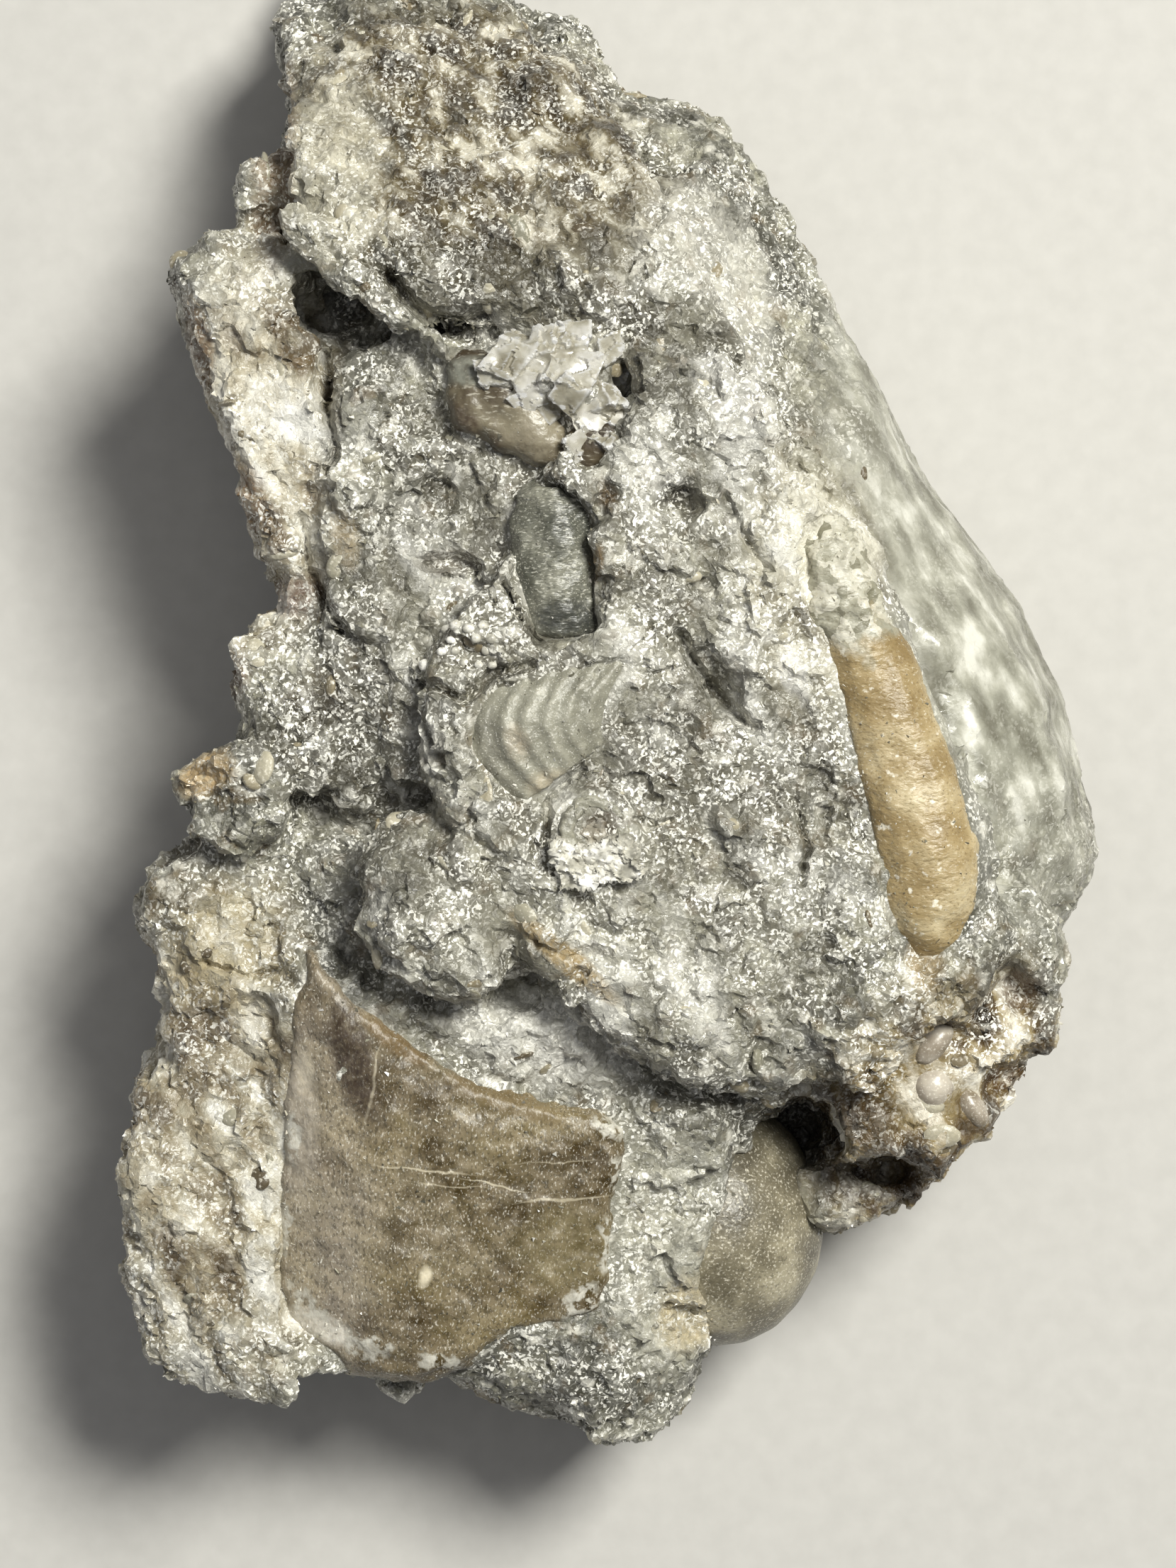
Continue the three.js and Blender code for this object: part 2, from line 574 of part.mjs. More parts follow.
const group = new THREE.Group();
group.add(
  piece('limestone_matrix', rock, 0x9b948a, 0.85),
  piece('tail_shield', solid(tailShield()), 0x6f6350, 0.45),
  piece('cheek_dome', solid(cheek), 0x8d8370, 0.4),
  piece('genal_spine', solid(spine), 0xa08c66, 0.5),
  piece('ribbed_plate', solid(fan()), 0x77736a, 0.4),
  piece('thorax_segment', solid(thoraxSegment()), 0x55534f, 0.45),
  piece('head_fragment', solid(headFragment()), 0x7a6f62, 0.4),
  piece('calcite_crystals', crystals, 0xcfc9bb, 0.15),
  piece('ring_shell', solid(ringShell), 0x9a9384, 0.5),
  ...BEADS.map((bead) => piece(bead.name, solid(beadEgg(bead)), bead.colour, 0.35)),
);

// The origin is the middle of the resting face.
const box = new THREE.Box3().setFromObject(group);
const middle = box.getCenter(new THREE.Vector3());
group.position.set(-middle.x, -middle.y, -box.min.z);

export default group;
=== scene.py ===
import math
import random

import bpy
from mathutils import Matrix, Vector


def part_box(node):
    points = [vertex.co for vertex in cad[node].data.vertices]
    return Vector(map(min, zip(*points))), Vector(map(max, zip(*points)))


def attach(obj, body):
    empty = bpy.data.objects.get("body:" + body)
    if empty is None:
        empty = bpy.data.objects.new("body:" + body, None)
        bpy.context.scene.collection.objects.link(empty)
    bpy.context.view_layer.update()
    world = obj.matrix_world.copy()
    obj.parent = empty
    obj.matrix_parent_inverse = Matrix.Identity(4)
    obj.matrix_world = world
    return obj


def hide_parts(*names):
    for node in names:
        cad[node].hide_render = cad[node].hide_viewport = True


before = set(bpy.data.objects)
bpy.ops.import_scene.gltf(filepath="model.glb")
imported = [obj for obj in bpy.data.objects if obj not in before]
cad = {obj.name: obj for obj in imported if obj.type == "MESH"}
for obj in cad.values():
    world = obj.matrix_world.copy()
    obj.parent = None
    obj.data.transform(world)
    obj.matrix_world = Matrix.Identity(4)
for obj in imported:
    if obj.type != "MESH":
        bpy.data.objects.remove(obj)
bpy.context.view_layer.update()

MM = 0.001

# ------------------------------ stage and camera
# The specimen lies fossil face up on a plain pale table. The camera looks straight down on it
# from 200 mm above the highest ledge, so that the far end runs out of the picture.

# The middle of the plan in which the camera stands, measured from the middle of the resting face.
PLAN = Vector((-1.16, -5.28, 0)) * MM
CAMERA_HEIGHT = 222 * MM
VIEW_LENGTH = 66.36 * MM
VIEW_DISTANCE = 200 * MM
SENSOR = 36

bpy.ops.object.select_all(action="DESELECT")
bpy.ops.mesh.primitive_plane_add(size=1.2, location=(0, 0, 0))
table_top = bpy.context.object
table_top.name = "table_top"

bpy.ops.object.camera_add(location=PLAN + Vector((0, -0.18 * MM, CAMERA_HEIGHT)), rotation=(0, 0, 0))
camera = bpy.context.object
camera.data.sensor_width = SENSOR
camera.data.lens = SENSOR * VIEW_DISTANCE / VIEW_LENGTH
camera.data.clip_start = 5 * MM
bpy.context.scene.camera = camera

# A small hard lamp at the upper right, and two large soft ones.
LAMPS = [
    ("key", (0.15, 0.14, 0.37), 0.12, 2.38, "#fefdf5"),
    ("sky", (-0.05, 0.02, 0.6), 0.5, 0.5, "#ffffff"),
    ("side", (-0.35, -0.25, 0.25), 0.3, 0.14, "#f2f5ff"),
]


def linear(hex_colour):
    """An sRGB hex colour as linear RGBA."""
    parts = [int(hex_colour[i:i + 2], 16) / 255 for i in (1, 3, 5)]
    return [p / 12.92 if p <= 0.04045 else ((p + 0.055) / 1.055) ** 2.4 for p in parts] + [1]


for name, place, size, power, colour in LAMPS:
    aim = (Vector((0, 0, 0.01)) - Vector(place)).to_track_quat("-Z", "Y").to_euler()
    bpy.ops.object.light_add(type="AREA", location=place, rotation=aim)
    lamp = bpy.context.object
    lamp.name = name
    lamp.data.size = size
    lamp.data.energy = power
    lamp.data.color = linear(colour)[:3]

world = bpy.data.worlds.new("room")
world.use_nodes = True
world.node_tree.nodes["Background"].inputs["Color"].default_value = linear("#e8ebef")
world.node_tree.nodes["Background"].inputs["Strength"].default_value = 0.055
bpy.context.scene.world = world
bpy.context.scene.view_settings.view_transform = "Standard"


def put(tree, kind, inputs=None, stops=None, **settings):
    """Adds a node with its settings, links or sets its inputs, and gives back its outputs."""
    node = tree.nodes.new(kind)
    for key, value in settings.items():
        setattr(node, key, value)
    for key, value in (inputs or {}).items():
        if isinstance(value, bpy.types.NodeSocket):
            tree.links.new(value, node.inputs[key])
        else:
            node.inputs[key].default_value = value
    if stops:
        band = node.color_ramp
        while len(band.elements) < len(stops):
            band.elements.new(1)
        for element, (place, value) in zip(band.elements, sorted(stops, key=lambda stop: stop[0])):
            element.position = place
            element.color = linear(value) if isinstance(value, str) else (value, value, value, 1)
    return node.outputs


def material(name):
    """A new node material: its tree, its shader and the coordinates of the piece."""
    made = bpy.data.materials.new(name)
    made.use_nodes = True
    tree = made.node_tree
    return made, tree, tree.nodes["Principled BSDF"], put(tree, "ShaderNodeTexCoord")["Object"]


# Matt card, whose fibres show only as a faint mottle.
card, tree, shader, coords = material("matt pale card")
fibre = put(tree, "ShaderNodeTexNoise", {"Vector": coords, "Scale": 900, "Detail": 4})
tint = put(tree, "ShaderNodeValToRGB", {"Fac": fibre["Fac"]}, [(0.3, "#c3c1bd"), (0.7, "#c9c7c3")])
tree.links.new(tint["Color"], shader.inputs["Base Color"])
shader.inputs["Roughness"].default_value = 0.9
table_top.data.materials.append(card)

# ------------------------------ limestone
# The matrix is a broken lump of sparry limestone: coarse calcite grains and crushed shell.
# Every face is a fresh break, with crumbly ledges, sockets and cracks, and brown stains.

VOXEL = 0.19 * MM
STONE_TRIANGLES = 195000
# The rock runs in over the edges of the shells: how far it reaches in, and how many millimetres it keeps
# off their tops.
SOCKET_REACH = 0.7 * MM
SOCKET_DROPS = {"tail_shield": 0.8, "ribbed_plate": 0.8, "thorax_segment": 1.0, "head_fragment": 1.0,
                "calcite_crystals": 0.9, "brown_grain": 0.8, "genal_spine": 0.8, "ring_shell": 0.75,
                "seed_shell_1": 1.0, "seed_shell_2": 1.0, "seed_shell_3": 1.0}
# Its broken faces: the width of the crystals, how far they lean, and how far they step up or down.
COARSE_BREAKS = [(5.2, 0.42, 0.34), (2.3, 0.42, 0.24)]
FINE_BREAKS = [(0.95, 0.2, 0.1), (0.45, 0.08, 0.05)]
# The right-hand flank, which is worn smoother than the rest: its middle and its reach each way.
FLANK = ((17.5, 12, 10), (9, 25, 14))
# Cracks, seen from above: where each runs in the plan, its width and its depth.
CRACKS = [
    ([(-11.4, 18.7), (-11.1, 16.8), (-11.4, 16.1), (-11, 15.1), (-10.8, 13.9), (-11.3, 13.1)], 0.45, 0.8),
    ([(-12.3, 11.2), (-12.1, 9.3), (-11.3, 7.7), (-10.6, 6.5)], 0.6, 0.7),
    ([(-8.5, 21.5), (-7.7, 20.4), (-6.8, 19.8), (-5.7, 19.5), (-4.4, 19.9)], 0.9, 1.0),
    ([(3.9, 6.1), (5, 4.1), (6.1, 3), (7, 2.2)], 0.7, 0.8),
    ([(-0.2, 0.5), (-1.2, -0.3), (-1.6, -0.7), (-1.75, -1.7), (-1.9, -2.7)], 0.4, 0.6),
    ([(-7, 4.1), (-5.2, 3.3), (-4.1, 4.5), (-2.3, 4.9)], 0.7, 0.7),
    ([(2, -1.7), (2.6, -1.7)], 0.4, 0.5),
    ([(-3.6, 8.3), (-3.1, 7.4), (-2.6, 6.4), (-2, 5.9)], 0.4, 0.6),
    ([(5.8, 12.1), (6.4, 10.5), (7.1, 9.4), (7.7, 8.9)], 0.4, 0.3),
    ([(-6.9, 9.2), (-5.6, 9.4), (-4.8, 9.1)], 0.8, 0.6),
    ([(-16.6, -8), (-14.6, -8.6), (-13.6, -8.2)], 0.5, 0.5),
    ([(8.9, -1), (9.3, -3), (9.1, -4.4)], 0.5, 0.5),
    ([(18.2, -8.4), (19, -9.8)], 1.7, 0.9),
    ([(17.6, -13.4), (19, -12.8)], 1.5, 0.9),
    ([(14.6, -10.8), (16, -11)], 0.9, 0.5),
]


def pick(piece):
    """Makes a piece the only selected one."""
    bpy.ops.object.select_all(action="DESELECT")
    piece.select_set(True)
    bpy.context.view_layer.objects.active = piece


def loose_copy(original, name):
    """A bare copy of a piece, on no body and with no finish."""
    pick(original)
    bpy.ops.object.duplicate()
    piece = bpy.context.object
    piece.name = name
    piece.parent = None
    for key in list(piece.keys()):
        del piece[key]
    piece.data.materials.clear()
    return piece


def copy_of(node, name):
    """A merged copy of a CAD node to work on."""
    piece = loose_copy(cad[node], name)
    bpy.ops.object.mode_set(mode="EDIT")
    bpy.ops.mesh.select_all(action="SELECT")
    bpy.ops.mesh.remove_doubles(threshold=1e-7)
    bpy.ops.object.mode_set(mode="OBJECT")
    return piece


def modify(piece, kind, **settings):
    """Adds a modifier and applies it."""
    pick(piece)
    bpy.ops.object.modifier_add(type=kind)
    made = piece.modifiers[-1]
    for key, value in settings.items():
        setattr(made, key, value)
    bpy.ops.object.modifier_apply(modifier=made.name)


def swell(piece, amount):
    """Moves a surface outwards along its normals."""
    modify(piece, "DISPLACE", strength=amount, mid_level=0)


def remesh(piece, voxel):
    """Gives a piece an even skin, on a grid that is turned so that its steps don't line up with an edge."""
    turned = Matrix.Rotation(math.radians(31), 4, "X") @ Matrix.Rotation(math.radians(27), 4, "Z")
    piece.data.transform(turned)
    modify(piece, "REMESH", mode="VOXEL", voxel_size=voxel)
    piece.data.transform(turned.inverted())


def joined(pieces, name):
    """Several pieces made one."""
    pick(pieces[0])
    for piece in pieces:
        piece.select_set(True)
    bpy.ops.object.join()
    pieces[0].name = name
    return pieces[0]


def chained(tree, operation, terms):
    """Adds or multiplies numbers, one after another."""
    total = terms[0]
    for term in terms[1:]:
        total = put(tree, "ShaderNodeMath", {0: total, 1: term}, operation=operation)[0]
    return total


def outward(tree, place, middle, reach, turn=0):
    """0 in the middle of an oval patch and 1 at its edge. Its middle is in the plan, in millimetres."""
    middle = PLAN + Vector(middle) * MM
    shrink = Vector([1 / (r * MM) for r in reach])
    if turn:
        away = put(tree, "ShaderNodeVectorMath", {0: place, 1: middle}, operation="SUBTRACT")[0]
        away = put(tree, "ShaderNodeVectorRotate", {"Vector": away, "Angle": -math.radians(turn)},
                   rotation_type="Z_AXIS")[0]
        away = put(tree, "ShaderNodeVectorMath", {0: away, 1: shrink}, operation="MULTIPLY")[0]
    else:
        away = put(tree, "ShaderNodeVectorMath", {0: place, 1: shrink, 2: -middle * shrink},
                   operation="MULTIPLY_ADD")[0]
    return put(tree, "ShaderNodeVectorMath", {0: away}, operation="LENGTH")["Value"]


def inside(tree, place, middle, reach, turn=0):
    """1 in the middle of an oval patch and 0 at its edge and beyond."""
    away = outward(tree, place, middle, reach, turn)
    return put(tree, "ShaderNodeMath", {0: 1, 1: away}, operation="SUBTRACT", use_clamp=True)[0]


def region(tree, place, middle, reach, within, beyond, edge=0.35):
    """One share in an oval region and another beyond it, with a soft edge between them."""
    return put(tree, "ShaderNodeMapRange", {"Value": inside(tree, place, middle, reach), "From Max": edge,
                                            "To Min": beyond, "To Max": within})[0]


def uneven_place(tree, place, size, amount):
    """Coordinates pushed about a little, so that cells and lines wander."""
    wobble = put(tree, "ShaderNodeTexNoise", {"Vector": place, "Scale": 0.6 / (size * MM),
                                              "Detail": 3})["Color"]
    wobble = put(tree, "ShaderNodeVectorMath", {0: wobble, 1: [0.5] * 3}, operation="SUBTRACT")[0]
    return put(tree, "ShaderNodeVectorMath", {0: wobble, 1: [amount * MM] * 3, 2: place},
               operation="MULTIPLY_ADD")[0]


def facets(tree, place, size, lean, step):
    """The height of broken crystal faces: each cell is a leaning plane, a step above or below the next."""
    spot = put(tree, "ShaderNodeVectorMath", {0: place, 1: [1 / size] * 3}, operation="MULTIPLY")[0]
    cell = put(tree, "ShaderNodeTexVoronoi", {"Vector": spot, "Scale": 1})
    away = put(tree, "ShaderNodeVectorMath", {0: spot, 1: cell["Position"]}, operation="SUBTRACT")[0]
    turn = put(tree, "ShaderNodeVectorMath", {0: cell["Color"], 1: [0.5] * 3}, operation="SUBTRACT")[0]
    slant = put(tree, "ShaderNodeVectorMath", {0: away, 1: turn}, operation="DOT_PRODUCT")["Value"]
    drop = put(tree, "ShaderNodeVectorMath", {0: turn, 1: [step, 0, 0]}, operation="DOT_PRODUCT")["Value"]
    return put(tree, "ShaderNodeMath", {0: slant, 1: 2 * lean, 2: drop}, operation="MULTIPLY_ADD")[0]


def node_tree(name):
    """An empty geometry node tree and its incoming geometry."""
    tree = bpy.data.node_groups.new(name, "GeometryNodeTree")
    tree.interface.new_socket("Geometry", in_out="INPUT", socket_type="NodeSocketGeometry")
    tree.interface.new_socket("Geometry", in_out="OUTPUT", socket_type="NodeSocketGeometry")
    return tree, put(tree, "NodeGroupInput")["Geometry"]


def break_up(piece, breaks, wander, worn):
    """Breaks a surface into leaning crystal faces, with worn lumps over them."""
    tree, before = node_tree("fresh break")
    place = put(tree, "GeometryNodeInputPosition")[0]
    facing = put(tree, "GeometryNodeInputNormal")[0]
    ragged = uneven_place(tree, place, wander, 2 * wander)
    heights = []
    for size, lean, step in breaks:
        face = facets(tree, ragged, size * MM, lean, step)
        heights.append(chained(tree, "MULTIPLY", [face, MM]))
    lumps = put(tree, "ShaderNodeTexNoise", {"Vector": place, "Scale": 0.6 / (wander * MM),
                                             "Detail": 4})["Fac"]
    heights.append(put(tree, "ShaderNodeMath", {0: lumps, 1: 2 * worn * MM, 2: -worn * MM},
                       operation="MULTIPLY_ADD")[0])
    level = put(tree, "ShaderNodeSeparateXYZ", {0: place})["Z"]
    foot = put(tree, "ShaderNodeMapRange", {"Value": level, "From Min": 0.4 * MM, "From Max": 2.5 * MM})[0]
    flank = region(tree, place, *FLANK, 0.3, 1, 0.4)
    rough = put(tree, "GeometryNodeInputNamedAttribute", {"Name": "rough"}, data_type="FLOAT")["Attribute"]
    height = chained(tree, "MULTIPLY", [chained(tree, "ADD", heights), foot, flank, rough])
    shift = put(tree, "ShaderNodeVectorMath", {0: facing, "Scale": height}, operation="SCALE")[0]
    broken = put(tree, "GeometryNodeSetPosition", {"Geometry": before, "Offset": shift})[0]
    put(tree, "NodeGroupOutput", {"Geometry": broken})
    modify(piece, "NODES", node_group=tree)


def crack_open(piece, cracks):
    """Sinks cracks into the faces that look up."""
    tree, before = node_tree("cracks")
    place = put(tree, "GeometryNodeInputPosition")[0]
    facing = put(tree, "GeometryNodeInputNormal")[0]
    upward = put(tree, "ShaderNodeSeparateXYZ", {0: facing})["Z"]
    upward = put(tree, "ShaderNodeMapRange", {"Value": upward, "From Max": 0.4})[0]
    flat = put(tree, "ShaderNodeVectorMath", {0: uneven_place(tree, place, 0.5, 0.6), 1: [1, 1, 0]},
               operation="MULTIPLY")[0]
    traces = []
    depths = []
    for points, width, depth in cracks:
        mesh = bpy.data.meshes.new("trace")
        corners = [PLAN + Vector((x, y, 0)) * MM for x, y in points]
        mesh.from_pydata(corners, [(i, i + 1) for i in range(len(points) - 1)], [])
        trace = bpy.data.objects.new("trace", mesh)
        bpy.context.collection.objects.link(trace)
        traces.append(trace)
        shape = put(tree, "GeometryNodeObjectInfo", {"Object": trace})["Geometry"]
        away = put(tree, "GeometryNodeProximity", {"Geometry": shape, "Sample Position": flat},
                   target_element="EDGES")["Distance"]
        depths.append(put(tree, "ShaderNodeMapRange", {"Value": away, "From Min": 0.08 * width * MM,
                                                       "From Max": 0.5 * width * MM, "To Min": -depth * MM,
                                                       "To Max": 0}, interpolation_type="SMOOTHSTEP")[0])
    sink = chained(tree, "MULTIPLY", [chained(tree, "ADD", depths), upward])
    shift = put(tree, "ShaderNodeCombineXYZ", {"Z": sink})[0]
    put(tree, "NodeGroupOutput", {"Geometry": put(tree, "GeometryNodeSetPosition", {
        "Geometry": before, "Offset": shift})[0]})
    modify(piece, "NODES", node_group=tree)
    for trace in traces:
        bpy.data.objects.remove(trace)


def weigh(piece, target, nothing, full):
    """Weights a surface by its distance from a target: how far away it counts for nothing, and in full."""
    piece.vertex_groups.clear()
    piece.vertex_groups.new(name="rough").add(range(len(piece.data.vertices)), 1, "REPLACE")
    modify(piece, "VERTEX_WEIGHT_PROXIMITY", vertex_group="rough", target=target, proximity_mode="GEOMETRY",
           proximity_geometry={"FACE"}, min_dist=nothing * MM, max_dist=full * MM)


stone = copy_of("limestone_matrix", "limestone")
plugs = []
for node, drop in SOCKET_DROPS.items():
    plug = copy_of(node, "plug")
    swell(plug, SOCKET_REACH)
    plug.data.transform(Matrix.Translation((0, 0, -drop * MM)))
    plugs.append(plug)
stone = joined([stone] + plugs, "limestone")
remesh(stone, 0.29 * MM)
modify(stone, "SMOOTH", factor=0.5, iterations=2)

# The breaks fade out beside a shell, which came out of the rock with its own smooth face.
shells = [copy_of(node, "shell") for node in cad if node != "limestone_matrix"]
for shell in shells:
    swell(shell, 0.3 * MM)
shells = joined(shells, "shells")
weigh(stone, shells, 0.05, 0.6)
break_up(stone, COARSE_BREAKS, 1.6, 0.55)
remesh(stone, VOXEL)
weigh(stone, shells, 0.05, 0.6)
break_up(stone, FINE_BREAKS, 0.5, 0.11)
crack_open(stone, CRACKS)
bpy.data.objects.remove(shells)
modify(stone, "DECIMATE", ratio=STONE_TRIANGLES / (2 * len(stone.data.polygons)))
pick(stone)
bpy.ops.object.shade_smooth_by_angle(angle=math.radians(28))
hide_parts("limestone_matrix")
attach(stone, "root")

# Sparry limestone, freshly broken: grey calcite grains, each a tiny mirror at its own angle, whitened
# where the edges are bruised, with painted shade darkening every crevice. Rusty water has stained it in
# patches.
# The grains are about 0.15 mm across, and are drawn coarser so that they show.
GRAIN = 0.26 * MM
SPAR = 0.85 * MM
# The big crystal faces have tones of their own: how wide they are, and how dark and light they get.
FACE_TONES = [(5.5, 0.76, 1.2), (2.2, 0.62, 1.34)]
# Weathered regions: the middle in the plan and its height in millimetres, the reach each way, the size of
# their clouds, how strongly they cover, and their colours from the darkest cloud to the lightest.
WEATHER = [
    # The flank's pale grey clouds are partly its own worn tone and partly painted light on the slope that
    # faces the lamp.
    (*FLANK, 0.9, 0.92, ["#737164", "#949386", "#b0afa2", "#dddcd2"]),
    ((-4, 30, 20), (12, 11, 12), 0.8, 0.85, ["#261c0d", "#44371f", "#6b5f43", "#d6d0be"]),
    ((-14.5, 14, 15), (5, 11, 9), 1.2, 0.75, ["#6b5636", "#b8ae96", "#ded8c7", "#fffdf6"]),
    ((-16, -15, 12), (7, 15, 9), 1.0, 0.6, ["#5f4b2d", "#a6977a", "#d0c7b0", "#fbf8ef"]),
    ((15.5, -14, 13), (8, 8.5, 12), 1.1, 0.92, ["#241706", "#574322", "#9a885f", "#f5efdf"]),
    ((1, 4, 19), (15, 24, 16), 1.6, 0.4, ["#40382b", "#6f6a5d", "#908d81", "#efede6"]),
    ((9.5, 9, 20), (4, 7, 8), 0.9, 0.6, ["#6a6250", "#b0aa95", "#dcd8c8", "#fbf9f2"]),
]
# Brown regions with fewer white bruises: the middle, the reach each way, and the share that is left.
CALM = [
    ((13.5, -16.5, 11), (7, 5.5, 12), 0.35),
    ((-4, 30, 20), (12, 11, 12), 0.65),
    ((-16, -15, 12), (7, 15, 9), 0.7),
]
# Stains and bleached patches, with some painted shade and light among them: the middle in the plan and
# its height in millimetres, the reach each way, the turn in degrees, the colour, and how strongly it covers.
STAINS = [
    ((-11, 27, 20), (3, 7, 6), 0, "#c9c5b3", 0.6),
    ((-13.6, 26, 14), (1.8, 7, 8), 0, "#7a5d3c", 0.6),
    # Painted shade along the foot of the upper mass, where it curves down into the hollow.
    ((-4.5, 21.4, 20), (7, 2.2, 12), -8, "#3f3b2e", 0.8),
    ((-15.5, 20.5, 17), (3, 3, 5), 0, "#e2decf", 0.4),
    ((-15, 15.2, 16), (1.4, 1.5, 4), 0, "#f0ece0", 0.6),
    ((-14.6, 12.2, 14), (1.3, 2.6, 9), 20, "#6b4d28", 0.9),
    ((-12.6, 8, 14), (1.6, 1.5, 9), 0, "#5f4434", 0.8),
    ((-16.8, 19, 14), (0.9, 3.5, 9), 12, "#74542c", 0.85),
    ((-15.2, 4.6, 14), (1.1, 1.6, 9), 0, "#5f4529", 0.8),
    ((-11.6, 3.6, 16), (2.2, 1.8, 9), 0, "#544a38", 0.75),
    ((-10.4, 10.4, 16), (1.0, 2.2, 9), 10, "#b3a283", 0.6),
    ((-16.4, 0.2, 14), (2.1, 1.4, 9), 30, "#c6a878", 0.75),
    ((-11.8, 1.6, 16), (3.8, 3.4, 12), 0, "#383429", 0.75),
    ((-15.5, -7, 14), (4.4, 4.4, 6), 0, "#b8ab89", 0.55),
    ((-18, -4.6, 13), (1.4, 1.4, 4), 0, "#85552c", 0.7),
    ((-16, -26, 8), (5, 3, 6), 0, "#765f3d", 0.7),
    ((-5, -27, 8), (8, 2.4, 5), 0, "#8d7b57", 0.6),
    ((-11.7, -23.7, 14), (2.2, 0.9, 5), 0, "#efebe0", 0.9),
    ((10.3, 10.5, 21), (3.2, 4, 6), 0, "#e2decd", 0.7),
    ((14, -13, 15), (4, 3, 9), 0, "#7a6b4b", 0.5),
    # The next two are dark brown stains deepened with painted shade, in the hollow under the rim and in the
    # cavity beside the cheek.
    ((12.9, -17.6, 10), (3.6, 2.2, 14), 0, "#3a2b17", 0.85),
    ((9.4, -15.7, 10), (2.8, 2.4, 14), 0, "#29241d", 0.85),
    # The next three darken the cracks on the right-hand terrace.
    ((12.2, -14.2, 13), (2.2, 1.2, 9), 0, "#3f2f1b", 0.8),
    ((18.4, -13.1, 14), (1.6, 1.0, 9), 0, "#4d351b", 0.9),
    ((18.7, -9.2, 14), (1.2, 1.4, 9), 0, "#523a20", 0.85),
    ((3.4, -20, 13), (3.4, 9, 9), 0, "#d3d0bf", 0.5),
    ((4.4, -23.4, 10), (2.4, 2.6, 9), 0, "#c9b890", 0.6),
    ((-6.2, -6.3, 17), (3.4, 3.2, 9), 0, "#a5a396", 0.4),
    ((-1.0, -7.5, 18.5), (4.2, 0.75, 9), -40, "#a08c66", 1.0),
    ((14.4, -8, 18), (1.2, 1.6, 9), 0, "#a59270", 0.8),
    # Painted light: a pale patch that lifts the shelf out of the ledge's shadow.
    ((-2, -11.2, 14), (6, 2.6, 9), -12, "#eeece4", 0.7),
    ((5.4, 23, 17), (3.4, 5, 9), 25, "#eeebe0", 0.4),
    # Painted shadow inside the ring, on the right side of its filled hole.
    ((0.6, -1.8, 21), (1.2, 0.9, 3), 0, "#4c4030", 0.8),
    ((-6, 9.3, 20), (1.8, 0.8, 3), 0, "#4a3f2e", 0.7),
    ((0.4, 9.3, 21), (0.5, 1.4, 3), -10, "#77613d", 0.8),
    ((0.9, 12, 21), (0.7, 1.3, 3), 25, "#55401f", 0.85),
    ((3.6, 12.3, 21), (1.4, 0.9, 3), 20, "#35312a", 0.8),
]


def clouded(tree, place, size, stops, detail=4):
    """Colours or shares that drift into each other in clouds about that many millimetres across."""
    cloud = put(tree, "ShaderNodeTexNoise", {"Vector": place, "Scale": 0.6 / (size * MM), "Detail": detail})
    return put(tree, "ShaderNodeValToRGB", {"Fac": cloud["Fac"]}, stops)["Color"]


def flecked(tree, place, size, span, body, coat, most=1, detail=4):
    """Lays a coat over a body in clouds or flecks about that many millimetres across."""
    share = clouded(tree, place, size, [(span[0], 0), (span[1], most)], detail)
    coat = linear(coat) if isinstance(coat, str) else coat
    return put(tree, "ShaderNodeMix", {0: share, 6: body, 7: coat}, data_type="RGBA")[2]


def patched(tree, place, body, patches):
    """Lays oval patches with speckled, cloudy edges over a body."""
    # A patch covers in full at 1: it falls from 2 in its middle to -1.08 at its edge, and clouds add to it.
    clouds = put(tree, "ShaderNodeTexNoise", {"Vector": place, "Scale": 0.6 / (1.8 * MM), "Detail": 5})["Fac"]
    clouds = put(tree, "ShaderNodeMath", {0: clouds, 1: 1.54, 2: 2}, operation="MULTIPLY_ADD")[0]
    speckle = clouded(tree, place, 0.15, [(0.3, 0.45), (0.6, 1.0)])
    shares = {strength: chained(tree, "MULTIPLY", [speckle, strength])
              for strength in sorted({patch[-1] for patch in patches})}
    for middle, reach, turn, colour, strength in patches:
        away = outward(tree, place, middle, reach, turn)
        cover = put(tree, "ShaderNodeMath", {0: away, 1: -3.08, 2: clouds}, operation="MULTIPLY_ADD",
                    use_clamp=True)[0]
        cover = chained(tree, "MULTIPLY", [cover, shares[strength]])
        body = put(tree, "ShaderNodeMix", {0: cover, 6: body, 7: linear(colour)}, data_type="RGBA")[2]
    return body


